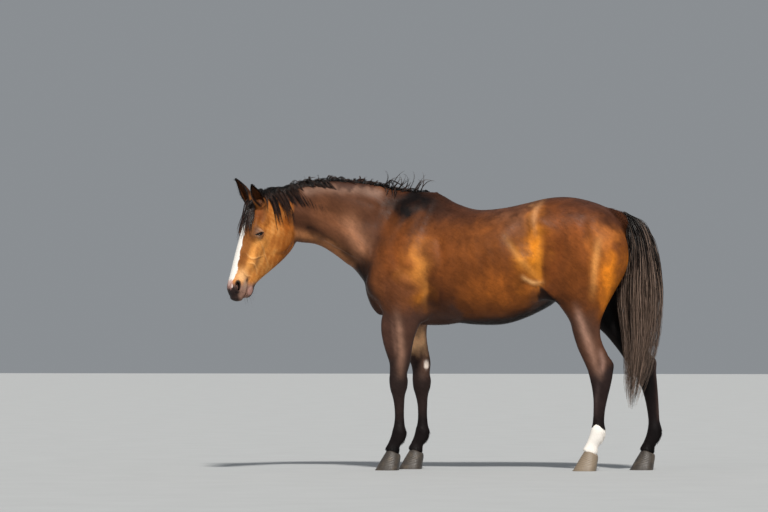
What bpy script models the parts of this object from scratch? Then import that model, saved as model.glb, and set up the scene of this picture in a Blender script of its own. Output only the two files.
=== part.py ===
"""Bay mare standing at rest with the head turned a little to her left. Life size, metres.

She faces -X, +Z is up, her left side is -Y. The flesh is one implicit form: lofts along the
neck, trunk, head and legs, with muscles blended on, meshed, thinned, and cut into named parts.
"""
import math
import bmesh
import bpy
import numpy as np
from mathutils import Matrix, Vector

WITHERS = 1.582          # height at the withers
HEAD_LEAN = math.radians(16.0)   # face line from the plumb
POLL_X, POLL_Z = -1.055, 1.600
NECK_TURN = math.radians(41.0)   # head and neck swing to the left
TURN_FROM, TURN_SPAN = -0.12, 0.80
STANCE_FORE, STANCE_HIND = 0.125, 0.118   # half the distance between the legs of a pair
FAR_FORE_BACK = 0.10     # right foreleg stands this far behind the left
HOOF_LONG, HOOF_HALF = 0.135, 0.064
TOE = {"hoof_fore_left": -0.378, "hoof_fore_right": -0.278,
       "hoof_hind_left": 0.750, "hoof_hind_right": 1.054}
EYE_RADIUS = 0.021
GAP = 0.0003
FAR_OFF = 9.0
ORIGIN = Vector((0.044, -0.140, 0.0))   # middle of the whole, on the floor

for old in list(bpy.data.objects):
    bpy.data.objects.remove(old)
scene_root = bpy.context.scene.collection


# ---- implicit forms ---------------------------------------------------------------------

def smooth_step(t):
    t = np.clip(t, 0.0, 1.0)
    return t * t * (3.0 - 2.0 * t)


def spline(rows, per_span):
    rows = np.asarray(rows, float)
    ext = np.vstack([2 * rows[0] - rows[1], rows, 2 * rows[-1] - rows[-2]])
    out = []
    for i in range(len(rows) - 1):
        p0, p1, p2, p3 = ext[i:i + 4]
        for t in np.arange(per_span) / per_span:
            out.append(0.5 * (2 * p1 + (p2 - p0) * t + (2 * p0 - 5 * p1 + 4 * p2 - p3) * t ** 2
                              + (3 * p1 - p0 - 3 * p2 + p3) * t ** 3))
    out.append(rows[-1])
    return np.array(out)


class Loft:
    """Stations of: front x, z; back x, z; middle y; half width; squareness front, back;
    share of the depth at which it is widest."""

    def __init__(self, stations, cap_start, cap_end, blend, per_span=5):
        rows = spline(stations, per_span)
        top = np.column_stack([rows[:, 0], rows[:, 4], rows[:, 1]])
        low = np.column_stack([rows[:, 2], rows[:, 4], rows[:, 3]])
        self.centre = top + (low - top) * rows[:, 8:9]
        depth = np.linalg.norm(top - low, axis=1)
        self.up = (top - low) / depth[:, None]
        self.rise = depth * rows[:, 8]
        self.fall = depth * (1 - rows[:, 8])
        self.half, self.e_up, self.e_down = rows[:, 5], rows[:, 6], rows[:, 7]
        self.caps, self.blend, self.cut = (cap_start, cap_end), blend, False
        reach = np.maximum(np.maximum(self.rise, self.fall), self.half).max() + max(self.caps)
        self.low, self.high = self.centre.min(0) - reach, self.centre.max(0) + reach
        run = np.gradient(self.centre, axis=0)
        along = run - (run * self.up).sum(1)[:, None] * self.up
        along[:, 1] = 0
        self.along = along / np.linalg.norm(along, axis=1)[:, None]

    def distance(self, q):
        c, n = self.centre, len(self.centre) - 1
        best, past = np.full(len(q), 1e9), np.zeros(len(q))
        where, share = np.zeros(len(q), int), np.zeros(len(q))
        f0 = (q - c[0]) @ self.along[0]
        for i in range(n):
            f1 = (q - c[i + 1]) @ self.along[i + 1]
            hit = (f0 >= 0) & (f1 < 0)
            if i == 0:
                hit |= f0 < 0
            if i == n - 1:
                hit |= f1 >= 0
            k = np.flatnonzero(hit)
            a, b = f0[k], f1[k]
            t = np.clip(a / np.maximum(a - b, 1e-6), 0, 1)
            over = np.zeros(len(k))
            if i == 0:
                t[a < 0] = 0
                over = np.maximum(over, -a)
            if i == n - 1:
                t[b >= 0] = 1
                over = np.maximum(over, b)
            d2 = ((q[k] - c[i] - t[:, None] * (c[i + 1] - c[i])) ** 2).sum(1)
            near = d2 < best[k]
            k = k[near]
            best[k], where[k], share[k], past[k] = d2[near], i, t[near], over[near]
            f0 = f1
        lost = np.flatnonzero(best > 1e8)
        if len(lost):
            r = q[lost, None, :] - c[None]
            where[lost] = np.clip((r * r).sum(2).argmin(1), 0, n - 1)

        def at(a):
            return a[where] * (1 - share) + a[where + 1] * share

        share2 = share[:, None]
        centre = c[where] * (1 - share2) + c[where + 1] * share2
        up = self.up[where] * (1 - share2) + self.up[where + 1] * share2
        r = q - centre
        v = (r * up).sum(1)
        b = np.where(v > 0, at(self.rise), at(self.fall))
        e = np.where(v > 0, at(self.e_up), at(self.e_down))
        a, cap = at(self.half), np.where(where < n / 2, self.caps[0], self.caps[1])
        tiny = 1e-6
        pu, pv, pw = np.abs(r[:, 1]) / a + tiny, np.abs(v) / b + tiny, past / cap
        k = (pu ** e + pv ** e + pw ** e) ** (1 / e)
        g = np.sqrt((pu ** (e - 1) / a) ** 2 + (pv ** (e - 1) / b) ** 2
                    + (np.maximum(pw, tiny) ** (e - 1) / cap * (pw > 0)) ** 2)
        return (k - 1) * k ** (e - 1) / np.maximum(g, tiny)


class Ball:
    """Ellipsoid from end a to end b with half sizes across it; cut takes it away."""

    def __init__(self, a, b, deep, wide, blend, cut=False):
        a, b = np.array(a, float), np.array(b, float)
        self.centre = (a + b) / 2
        length = np.linalg.norm(b - a)
        t = (b - a) / length
        side = np.array([0.0, 1.0, 0.0])
        side = side - t * (side @ t)
        side /= np.linalg.norm(side)
        self.axes = np.array([t, np.cross(t, side), side])
        self.radii = np.array([length / 2, deep, wide])
        self.blend, self.cut = blend, cut
        reach = np.abs(self.axes.T) @ self.radii
        self.low, self.high = self.centre - reach, self.centre + reach

    def distance(self, q):
        p = (q - self.centre) @ self.axes.T
        k0 = np.sqrt(((p / self.radii) ** 2).sum(1))
        k1 = np.sqrt(((p / self.radii ** 2) ** 2).sum(1))
        return k0 * (k0 - 1) / np.maximum(k1, 1e-6)


class Rod:
    """Round-ended tube through points of x, y, z, radius."""

    def __init__(self, points, blend):
        self.rows = spline(points, 4)
        self.blend, self.cut = blend, False
        self.low = (self.rows[:, :3] - self.rows[:, 3:]).min(0)
        self.high = (self.rows[:, :3] + self.rows[:, 3:]).max(0)

    def distance(self, q):
        best = np.full(len(q), FAR_OFF)
        for p, n in zip(self.rows, self.rows[1:]):
            run, r = n[:3] - p[:3], q - p[:3]
            t = np.clip((r @ run) / (run @ run), 0, 1)
            d = np.sqrt(((r - t[:, None] * run) ** 2).sum(1)) - (p[3] + (n[3] - p[3]) * t)
            best = np.minimum(best, d)
        return best


class Ear:
    """Leaf rolled into a cup that opens one way."""

    def __init__(self, base, way, opens, length, radius, thick):
        self.base, self.length, self.radius, self.thick = base, length, radius, thick
        self.t = way / np.linalg.norm(way)
        o = opens - self.t * (opens @ self.t)
        self.o = o / np.linalg.norm(o)
        self.u = np.cross(self.t, self.o)
        self.blend, self.cut = 0.012, False
        ends = np.array([base, base + self.t * length])
        self.low, self.high = ends.min(0) - radius * 1.4, ends.max(0) + radius * 1.4

    def distance(self, q):
        r = q - self.base
        s = r @ self.t / self.length
        k = np.clip(s, 0, 1)
        u, w = np.abs(r @ self.u), r @ self.o
        stops = [0, 0.15, 0.4, 0.6, 0.78, 0.9, 1]
        big = self.radius * np.interp(k, stops, [0.80, 0.92, 1.0, 0.88, 0.62, 0.40, 0.16])
        reach = np.interp(k, [0, 0.25, 0.5, 0.8, 1], [2.7, 2.15, 1.7, 1.2, 0.9])
        thick = self.thick * np.interp(k, [0, 0.3, 1], [1.5, 1.0, 1.0])
        ring = np.abs(np.hypot(u, w) - big)
        rim = np.hypot(u - big * np.sin(reach), w + big * np.cos(reach))
        d = np.where(np.arctan2(u, -w) < reach, ring, rim)
        over = np.maximum(np.maximum(-s, s - 1), 0) * self.length
        return np.hypot(d, over) - thick


class Sided:
    """Acts on both sides (0), her right (1) or her left (-1); forms are given for +Y."""

    def __init__(self, form, side):
        self.form, self.side, self.blend, self.cut = form, side, form.blend, form.cut
        self.low, self.high = form.low.copy(), form.high.copy()
        if side == 0:
            self.low[1] = -form.high[1]
        if side < 0:
            self.low[1], self.high[1] = -form.high[1], -form.low[1]

    def distance(self, q):
        q = q.copy()
        q[:, 1] = np.abs(q[:, 1]) if self.side == 0 else q[:, 1] * self.side
        return self.form.distance(q)


def evaluate(forms, q, margin=0.0):
    """Smooth union of the forms at points q; negative inside."""
    q = np.asarray(q, float)
    d = np.full(len(q), FAR_OFF)
    for form in forms:
        pad = form.blend + margin
        near = ((q > form.low - pad) & (q < form.high + pad)).all(1)
        k = np.flatnonzero(near)
        if len(k):
            old = -d[k] if form.cut else d[k]
            new, soft = form.distance(q[k]), form.blend
            h = np.maximum(soft - np.abs(old - new), 0) / soft
            m = np.minimum(old, new) - h * h * soft / 4
            d[k] = -m if form.cut else m
    return d


# ---- the mare ---------------------------------------------------------------------------

def face(a, n):
    """Centimetres down the face and in front of the poll, to x and z in metres."""
    c, s = math.cos(HEAD_LEAN), math.sin(HEAD_LEAN)
    return POLL_X - (a * s + n * c) / 100, POLL_Z - (a * c - n * s) / 100


def spot(a, n, side):
    x, z = face(a, n)
    return np.array([x, side / 100, z])


TRUNK = [
    (-0.36, 1.34, -0.37, 1.00, 0, 0.140, 2.0, 2.2, 0.55),
    (-0.28, 1.47, -0.30, 0.895, 0, 0.190, 1.8, 2.2, 0.58),
    (-0.17, 1.555, -0.19, 0.850, 0, 0.225, 1.6, 2.2, 0.60),
    (-0.04, WITHERS, -0.04, 0.842, 0, 0.243, 1.5, 2.2, 0.60),
    (0.08, 1.523, 0.08, 0.838, 0, 0.268, 1.8, 2.2, 0.57),
    (0.20, 1.488, 0.20, 0.827, 0, 0.292, 2.1, 2.2, 0.54),
    (0.34, 1.496, 0.34, 0.829, 0, 0.300, 2.25, 2.2, 0.52),
    (0.47, 1.522, 0.46, 0.862, 0, 0.285, 2.3, 2.2, 0.49),
    (0.60, 1.552, 0.58, 0.918, 0, 0.262, 2.2, 2.2, 0.45),
    (0.72, 1.558, 0.69, 0.985, 0, 0.248, 2.1, 2.2, 0.42),
    (0.84, 1.535, 0.80, 1.030, 0, 0.232, 2.1, 2.2, 0.40),
    (0.95, 1.492, 0.90, 1.060, 0, 0.190, 2.1, 2.2, 0.42),
    (1.02, 1.440, 0.99, 1.120, 0, 0.125, 2.1, 2.2, 0.45),
]
NECK = [
    (-1.085, 1.575, -1.00, 1.40, 0, 0.048, 2.0, 2.2, 0.50),
    (-1.00, 1.602, -0.905, 1.32, 0, 0.064, 1.8, 2.2, 0.52),
    (-0.90, 1.623, -0.842, 1.304, 0, 0.072, 1.6, 2.2, 0.56),
    (-0.78, 1.646, -0.752, 1.300, 0, 0.079, 1.5, 2.2, 0.60),
    (-0.65, 1.654, -0.664, 1.262, 0, 0.088, 1.45, 2.2, 0.62),
    (-0.53, 1.650, -0.582, 1.208, 0, 0.100, 1.45, 2.2, 0.64),
    (-0.41, 1.636, -0.505, 1.135, 0, 0.118, 1.45, 2.2, 0.66),
    (-0.29, 1.608, -0.445, 1.055, 0, 0.145, 1.5, 2.2, 0.68),
    (-0.17, 1.592, -0.37, 0.98, 0, 0.172, 1.5, 2.2, 0.68),
    (-0.05, 1.575, -0.30, 0.900, 0, 0.190, 1.6, 2.2, 0.66),
]
HEAD = [   # down the face and off it in cm: brow side, jaw side; half width in cm
    (0, 0.5, 16, -22, 5.6, 2.0, 2.2, 0.35),
    (8, 6.6, 24, -24.5, 6.6, 2.1, 2.4, 0.40),
    (15, 9.8, 29.5, -23.2, 7.4, 2.3, 2.4, 0.42),
    (22, 10.8, 33.5, -21.2, 7.6, 2.4, 2.3, 0.40),
    (29, 10.9, 37.5, -18.8, 7.0, 2.3, 2.3, 0.42),
    (36, 10.7, 41.5, -16.1, 6.1, 2.2, 2.3, 0.45),
    (42, 10.5, 45.8, -13.0, 5.3, 2.2, 2.2, 0.46),
    (48, 10.4, 50.0, -9.2, 4.8, 2.2, 2.2, 0.48),
    (54, 10.7, 54.5, -6.0, 4.8, 2.3, 2.2, 0.45),
    (59, 11.0, 59.0, -4.8, 5.2, 2.4, 2.2, 0.42),
    (63.5, 9.6, 62.6, -3.2, 4.9, 2.4, 2.2, 0.45),
    (66, 7.5, 65.2, 0.5, 3.8, 2.2, 2.2, 0.5),
]
FORELEG = [   # withers end of the shoulder blade down to the coronet
    (-0.24, 1.480, -0.115, 1.470, 0.070, 0.030, 2, 2, 0.5),
    (-0.312, 1.385, -0.075, 1.365, 0.100, 0.058, 2, 2, 0.5),
    (-0.370, 1.27, -0.05, 1.24, 0.123, 0.079, 2, 2, 0.5),
    (-0.405, 1.15, -0.04, 1.11, 0.138, 0.087, 2, 2, 0.5),
    (-0.400, 1.04, -0.05, 1.00, 0.146, 0.086, 2, 2, 0.5),
    (-0.360, 0.955, -0.070, 0.93, 0.147, 0.079, 2, 2, 0.5),
    (-0.333, 0.895, -0.098, 0.875, 0.145, 0.072, 2.0, 2.0, 0.5),
    (-0.320, 0.840, -0.120, 0.825, 0.142, 0.066, 2.0, 2.0, 0.48),
    (-0.310, 0.775, -0.143, 0.765, 0.137, 0.058, 2.0, 2.0, 0.46),
    (-0.303, 0.705, -0.160, 0.700, 0.132, 0.050, 2.0, 2.0, 0.45),
    (-0.297, 0.625, -0.172, 0.615, 0.128, 0.043, 2.0, 2.0, 0.46),
    (-0.296, 0.560, -0.190, 0.550, 0.126, 0.040, 2.2, 2.0, 0.45),
    (-0.298, 0.515, -0.186, 0.510, 0.125, 0.044, 2.5, 2.0, 0.42),
    (-0.293, 0.465, -0.190, 0.470, 0.125, 0.043, 2.5, 2.0, 0.42),
    (-0.279, 0.415, -0.203, 0.425, 0.125, 0.033, 2.2, 2.0, 0.45),
    (-0.270, 0.365, -0.207, 0.370, 0.125, 0.0265, 2.0, 2.0, 0.42),
    (-0.267, 0.305, -0.208, 0.305, 0.125, 0.0245, 2.0, 2.0, 0.42),
    (-0.272, 0.258, -0.203, 0.250, 0.125, 0.029, 2.1, 2.0, 0.45),
    (-0.280, 0.228, -0.194, 0.212, 0.125, 0.0345, 2.2, 2.0, 0.45),
    (-0.288, 0.195, -0.205, 0.170, 0.125, 0.0320, 2.2, 2.0, 0.45),
    (-0.302, 0.160, -0.232, 0.138, 0.125, 0.0285, 2.1, 2.0, 0.45),
    (-0.323, 0.122, -0.236, 0.095, 0.125, 0.036, 2.2, 2.2, 0.45),
]
QUARTER = [
    (0.64, 1.43, 0.96, 1.42, 0.100, 0.090, 2, 2, 0.5),
    (0.59, 1.31, 1.050, 1.31, 0.118, 0.122, 2, 2, 0.48),
    (0.585, 1.20, 1.068, 1.21, 0.128, 0.132, 2, 2, 0.46),
]
HIND_LEFT = QUARTER + [
    (0.592, 1.100, 1.045, 1.110, 0.131, 0.1300, 2, 2, 0.45),
    (0.630, 1.000, 0.992, 1.010, 0.134, 0.1170, 2, 2, 0.45),
    (0.685, 0.925, 0.947, 0.925, 0.142, 0.0850, 2, 2, 0.45),
    (0.734, 0.850, 0.917, 0.845, 0.142, 0.0640, 2, 2, 0.45),
    (0.754, 0.775, 0.914, 0.770, 0.135, 0.0520, 2, 1.9, 0.42),
    (0.777, 0.700, 0.932, 0.705, 0.128, 0.0430, 2, 1.8, 0.38),
    (0.808, 0.630, 0.962, 0.650, 0.120, 0.0380, 2.2, 1.8, 0.38),
    (0.832, 0.575, 0.985, 0.600, 0.116, 0.0380, 2.4, 1.8, 0.40),
    (0.846, 0.525, 0.981, 0.540, 0.114, 0.0400, 2.4, 1.8, 0.40),
    (0.859, 0.465, 0.968, 0.475, 0.114, 0.0360, 2.3, 1.9, 0.42),
    (0.866, 0.405, 0.952, 0.410, 0.115, 0.0290, 2.1, 2.0, 0.45),
    (0.866, 0.340, 0.938, 0.340, 0.116, 0.0265, 2.0, 2.0, 0.45),
    (0.863, 0.280, 0.934, 0.275, 0.117, 0.0280, 2.0, 2.0, 0.45),
    (0.854, 0.240, 0.942, 0.222, 0.118, 0.0350, 2.2, 2.0, 0.45),
    (0.844, 0.200, 0.930, 0.176, 0.118, 0.0325, 2.2, 2.0, 0.45),
    (0.828, 0.160, 0.900, 0.140, 0.118, 0.0290, 2.1, 2.0, 0.45),
    (0.806, 0.122, 0.894, 0.095, 0.118, 0.0360, 2.2, 2.2, 0.45),
]
HIND_RIGHT = QUARTER + [
    (0.60, 1.10, 1.055, 1.12, 0.131, 0.130, 2, 2, 0.45),
    (0.640, 1.00, 1.030, 1.02, 0.134, 0.117, 2, 2, 0.45),
    (0.730, 0.920, 1.015, 0.945, 0.143, 0.085, 2, 2, 0.45),
    (0.825, 0.845, 1.030, 0.880, 0.142, 0.064, 2, 2, 0.45),
    (0.905, 0.780, 1.055, 0.820, 0.135, 0.052, 2, 1.9, 0.42),
    (0.970, 0.705, 1.105, 0.750, 0.128, 0.043, 2, 1.8, 0.38),
    (1.025, 0.630, 1.165, 0.675, 0.120, 0.038, 2.2, 1.8, 0.38),
    (1.072, 0.565, 1.208, 0.622, 0.116, 0.038, 2.4, 1.8, 0.40),
    (1.098, 0.520, 1.211, 0.555, 0.114, 0.040, 2.4, 1.8, 0.40),
    (1.122, 0.465, 1.217, 0.485, 0.114, 0.036, 2.3, 1.9, 0.42),
    (1.140, 0.405, 1.222, 0.415, 0.115, 0.029, 2.1, 2.0, 0.45),
    (1.153, 0.340, 1.226, 0.345, 0.116, 0.0265, 2.0, 2.0, 0.45),
    (1.160, 0.280, 1.230, 0.280, 0.117, 0.028, 2.0, 2.0, 0.45),
    (1.157, 0.240, 1.243, 0.225, 0.118, 0.0350, 2.2, 2.0, 0.45),
    (1.148, 0.200, 1.232, 0.178, 0.118, 0.0325, 2.2, 2.0, 0.45),
    (1.132, 0.160, 1.204, 0.140, 0.118, 0.0290, 2.1, 2.0, 0.45),
    (1.110, 0.122, 1.198, 0.095, 0.118, 0.0360, 2.2, 2.2, 0.45),
]
TAIL = [   # dock to the thin end: hair outline
    (1.000, 1.455, 1.050, 1.462, 0, 0.030, 2, 2, 0.5),
    (1.010, 1.405, 1.140, 1.425, 0, 0.040, 2, 2, 0.5),
    (1.020, 1.340, 1.185, 1.360, 0, 0.050, 2, 2, 0.5),
    (1.030, 1.260, 1.215, 1.270, 0, 0.058, 2, 2, 0.5),
    (1.015, 1.150, 1.242, 1.155, 0, 0.070, 2, 2, 0.5),
    (0.995, 1.030, 1.257, 1.030, 0, 0.078, 2, 2, 0.5),
    (1.000, 0.900, 1.254, 0.900, 0, 0.076, 2, 2, 0.5),
    (1.018, 0.780, 1.240, 0.780, 0, 0.070, 2, 2, 0.5),
    (1.026, 0.660, 1.215, 0.660, 0, 0.060, 2, 2, 0.5),
    (1.030, 0.540, 1.182, 0.540, 0, 0.048, 2, 2, 0.5),
    (1.038, 0.430, 1.140, 0.430, 0, 0.034, 2, 2, 0.5),
    (1.055, 0.345, 1.105, 0.345, 0, 0.018, 2, 2, 0.5),
]


def foreleg(back):
    out = []
    for r in FORELEG:
        d = back * float(smooth_step((0.92 - r[1]) / 0.40))
        out.append((r[0] + d, r[1], r[2] + d) + r[3:])
    return Loft(out, 0.04, 0.012, 0.05)


def hoof(toe, y):
    long = HOOF_LONG
    return Loft([
        (toe - 0.012, -0.02, toe + long - 0.002, -0.02, y, HOOF_HALF, 2.3, 3.0, 0.5),
        (toe, 0.0, toe + long, 0.0, y, HOOF_HALF, 2.3, 3.0, 0.5),
        (toe + 0.012, 0.018, toe + long + 0.002, 0.012, y, HOOF_HALF - 0.002, 2.3, 3.0, 0.5),
        (toe + 0.036, 0.06, toe + long + 0.005, 0.035, y, HOOF_HALF - 0.011, 2.2, 3.0, 0.5),
        (toe + 0.062, 0.102, toe + long + 0.010, 0.062, y, HOOF_HALF - 0.020, 2.2, 2.6, 0.5),
        (toe + 0.072, 0.118, toe + long + 0.011, 0.080, y, HOOF_HALF - 0.025, 2.2, 2.4, 0.5),
    ], 0.002, 0.01, 0.008, 4)


def body_forms():
    forms = [Loft(TRUNK, 0.05, 0.04, 0.05), Loft(NECK, 0.02, 0.04, 0.04)]

    def both(*sizes, **more):
        forms.append(Sided(Ball(*sizes, **more), 0))

    both((-0.95, 0.040, 1.50), (-0.42, 0.115, 1.20), 0.058, 0.042, 0.04)    # arm and head
    both((-0.90, 0.028, 1.58), (-0.38, 0.070, 1.47), 0.060, 0.035, 0.05)    # splenius
    forms.append(Rod([(-0.90, 0, 1.338, 0.026), (-0.70, 0, 1.305, 0.026),
                      (-0.54, 0, 1.21, 0.030)], 0.04))                      # windpipe
    both((-0.15, 0.140, 1.32), (-0.16, 0.175, 0.95), 0.100, 0.058, 0.06)    # triceps
    both((-0.385, 0.115, 1.13), (-0.37, 0.145, 1.00), 0.050, 0.050, 0.04)   # shoulder point
    both((-0.415, 0.060, 1.10), (-0.345, 0.075, 0.885), 0.050, 0.055, 0.05) # breast
    forms.append(Ball((-0.36, 0, 0.92), (0.05, 0, 0.86), 0.05, 0.11, 0.05))
    both((0.49, 0.155, 1.43), (0.62, 0.205, 1.37), 0.040, 0.040, 0.07)      # hip
    both((0.60, 0.11, 1.415), (0.94, 0.12, 1.33), 0.095, 0.095, 0.05)       # rump
    both((0.93, 0.085, 1.42), (1.01, 0.115, 1.12), 0.065, 0.085, 0.05)      # hamstring
    both((0.615, 0.17, 1.26), (0.665, 0.195, 1.00), 0.085, 0.062, 0.05)     # thigh front
    both((0.615, 0.190, 1.06), (0.66, 0.205, 0.97), 0.035, 0.040, 0.03)     # stifle
    both((0.47, 0.315, 1.38), (0.53, 0.30, 1.26), 0.06, 0.05, 0.09, cut=True)   # flank
    both((0.50, 0.185, 1.00), (0.65, 0.195, 1.03), 0.035, 0.040, 0.07)      # flank fold
    for side, back in ((-1, 0.0), (1, FAR_FORE_BACK)):
        top, low = back * 0.1, back * 0.85
        forms.append(Sided(foreleg(back), side))
        forms.append(Sided(Ball((-0.322 + top, 0.150, 0.88), (-0.270 + low, 0.135, 0.62),
                                0.040, 0.036, 0.03), side))
        forms.append(Sided(Ball((-0.112 + top, 0.140, 0.94), (-0.095 + top, 0.143, 0.86),
                                0.035, 0.028, 0.05), side))
    for side, rows, hock in ((-1, HIND_LEFT, 0.947), (1, HIND_RIGHT, 1.170)):
        forms.append(Sided(Loft(rows, 0.05, 0.012, 0.05), side))
        lift = 0.02 if side > 0 else 0.0
        forms.append(Sided(Ball((hock, 0.112, 0.625 + lift), (hock + 0.023, 0.112, 0.575 + lift),
                                0.022, 0.022, 0.02), side))
    for name, toe in TOE.items():
        y = STANCE_FORE if "fore" in name else STANCE_HIND
        forms.append(Sided(hoof(toe, y), -1 if "left" in name else 1))
    forms.append(Rod([(0.96, 0, 1.44, 0.045), (1.01, 0, 1.435, 0.038), (1.035, 0, 1.41, 0.034)],
                     0.03))                                                 # root of the dock
    return forms


def head_forms():
    rows = []
    for ta, tn, ba, bn, half, et, eb, share in HEAD:
        rows.append(face(ta, tn) + face(ba, bn) + (0, half / 100, et, eb, share))
    forms = [Loft(rows, 0.03, 0.022, 0.03, 4)]

    def both(a, b, deep, wide, blend, cut=False):
        forms.append(Sided(Ball(spot(*a), spot(*b), deep / 100, wide / 100, blend, cut), 0))

    both((17, -13, 4.6), (34, -9, 5.6), 8.0, 3.2, 0.025)          # cheek muscle
    both((22.5, 4.2, 6.2), (32.5, 4.6, 6.4), 3.6, 2.9, 0.025)      # socket
    both((19.5, 6.8, 6.0), (29.5, 6.9, 6.3), 1.9, 1.9, 0.02)       # brow
    both((31, 0.0, 6.6), (47, 2.0, 4.8), 1.2, 1.0, 0.025)          # crest of the face
    both((17, 2.0, 6.0), (22, 1.5, 7.2), 1.6, 1.0, 0.02)
    forms.append(Ball(spot(30, 8.8, 0), spot(58, 9.3, 0), 0.018, 0.030, 0.02))
    both((12, 3.5, 4.0), (19, 6.0, 4.6), 3.6, 2.2, 0.02)          # temple
    both((18.5, 4.9, 9.0), (20.5, 5.2, 8.6), 1.3, 1.2, 0.015, True)
    both((57, 7.0, 3.6), (63.5, 6.0, 4.0), 2.7, 1.9, 0.015)       # nostril wing
    both((8, 4.5, 4.6), (14, 7.5, 5.4), 3.2, 2.6, 0.02)           # root of the ear
    forms.append(Ball(spot(57, -3.7, 0), spot(64.0, -1.7, 0), 0.022, 0.030, 0.012))
    forms.append(Ball(spot(63.5, 3.8, 0), spot(66.8, 3.2, 0), 0.026, 0.040, 0.012))
    forms.append(Ball(spot(33, -19.5, 0), spot(53, -8.9, 0), 0.028, 0.018, 0.012, cut=True))
    return forms


def ear_form(side, forward, out, up, opens):
    base = spot(11.0 - 0.6 * side, 6.4, 5.0 * side)
    way = np.array([-forward, out * side, up])
    opening = np.array([-opens[0], opens[1] * side, 0.0])
    return Ear(base, way, opening, 0.160 + 0.004 * side, 0.029, 0.005)


# ---- mesh -------------------------------------------------------------------------------

CORNERS = np.array([(i, j, k) for i in (0, 1) for j in (0, 1) for k in (0, 1)])


def lattice(count):
    return np.stack(np.meshgrid(*[np.arange(count)] * 3, indexing="ij"), -1).reshape(-1, 3)


def nets(field, low, high, cell, coarse=4):
    """Quads where the field crosses zero, worked out in a band round the surface."""
    low = np.asarray(low, float)
    big = cell * coarse
    n = np.ceil((np.asarray(high, float) - low) / big).astype(int) + 1
    blocks = np.stack(np.meshgrid(*[np.arange(m) for m in n], indexing="ij"), -1).reshape(-1, 3)
    blocks = blocks[np.abs(field(low + (blocks + 0.5) * big, big)) < big * 1.6]
    size = n * coarse + 2
    nodes = (blocks[:, None, :] * coarse + lattice(coarse + 1)[None]).reshape(-1, 3)
    key = (nodes[:, 0] * size[1] + nodes[:, 1]) * size[2] + nodes[:, 2]
    key, first = np.unique(key, return_index=True)
    grid = np.full(int(size[0] * size[1] * size[2]), np.nan)
    grid[key] = field(low + nodes[first] * cell)
    grid = grid.reshape(size)
    cells = (blocks[:, None, :] * coarse + lattice(coarse)[None]).reshape(-1, 3)
    corner = np.stack([grid[tuple((cells + c).T)] for c in CORNERS], 1)
    inside = corner < 0
    active = inside.any(1) & ~inside.all(1)
    cells, corner, inside = cells[active], corner[active], inside[active]
    total, count = np.zeros((len(cells), 3)), np.zeros(len(cells))
    for a in range(8):
        for axis in range(3):
            if CORNERS[a][axis] == 0:
                b = a + (4, 2, 1)[axis]
                cross = inside[:, a] != inside[:, b]
                at = np.repeat(CORNERS[a][None].astype(float), cross.sum(), 0)
                at[:, axis] += corner[cross, a] / (corner[cross, a] - corner[cross, b])
                total[cross] += at
                count[cross] += 1
    points = low + (cells + total / count[:, None]) * cell
    index = np.full(grid.shape, -1)
    index[tuple(cells.T)] = np.arange(len(cells))
    quads = []
    steps = np.eye(3, dtype=int)
    for axis in range(3):
        b, c = steps[(axis + 1) % 3], steps[(axis + 2) % 3]
        cross = inside[:, 0] != inside[:, (4, 2, 1)[axis]]
        here = cells[cross]
        ring = [here, here - b, here - b - c, here - c]
        quad = np.stack([index[tuple(r.T)] for r in ring], 1)
        out = ~inside[cross, 0]
        quad[out] = quad[out][:, ::-1]
        quads.append(quad[(quad >= 0).all(1)])
    return points, np.vstack(quads)


def settle(field, points, rounds=2, step=0.001):
    """Walk the points on to the surface."""
    for _ in range(rounds):
        slope = np.zeros((len(points), 3))
        for i in range(3):
            o = np.zeros(3)
            o[i] = step
            slope[:, i] = (field(points + o) - field(points - o)) / (2 * step)
        s = np.maximum((slope * slope).sum(1), 1e-3)
        move = (field(points) / s)[:, None] * slope
        long = np.linalg.norm(move, axis=1, keepdims=True)
        points = points - move * np.minimum(1, 0.01 / np.maximum(long, 1e-9))
    return points


ARC = np.linspace(0, 2.0, 801)
TURNED = NECK_TURN * smooth_step(ARC / TURN_SPAN)


def running(values):
    return np.concatenate([[0], np.cumsum((values[1:] + values[:-1]) / 2 * np.diff(ARC))])


LINE_X = TURN_FROM - running(np.cos(TURNED))
LINE_Y = -running(np.sin(TURNED))


def bend(points):
    """Swing the straight neck and head to the left; the chest stays where it is."""
    p = np.array(points, float)
    along = np.maximum(TURN_FROM - p[:, 0], 0)
    turned = np.interp(along, ARC, TURNED)
    q = p.copy()
    q[:, 0] = np.interp(along, ARC, LINE_X) - p[:, 1] * np.sin(turned)
    q[:, 1] = np.interp(along, ARC, LINE_Y) + p[:, 1] * np.cos(turned)
    away = (-0.10 - p[:, 0]) * 0.875 - (1.60 - p[:, 2]) * 0.483
    share = smooth_step(away / 0.16) * (p[:, 0] < TURN_FROM)
    return p + share[:, None] * (q - p)


def material(name, colour, rough):
    mat = bpy.data.materials.new(name)
    mat.use_nodes = True
    shader = mat.node_tree.nodes["Principled BSDF"]
    shader.inputs["Base Color"].default_value = (*colour, 1)
    shader.inputs["Roughness"].default_value = rough
    return mat


def put(name, mesh):
    ob = bpy.data.objects.new(name, mesh)
    scene_root.objects.link(ob)
    return ob


def baked(ob):
    """Mesh of the object with its modifiers done."""
    bpy.context.view_layer.update()
    mesh = bpy.data.meshes.new_from_object(
        ob.evaluated_get(bpy.context.evaluated_depsgraph_get()))
    ob.modifiers.clear()
    ob.data = mesh
    return mesh


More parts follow.
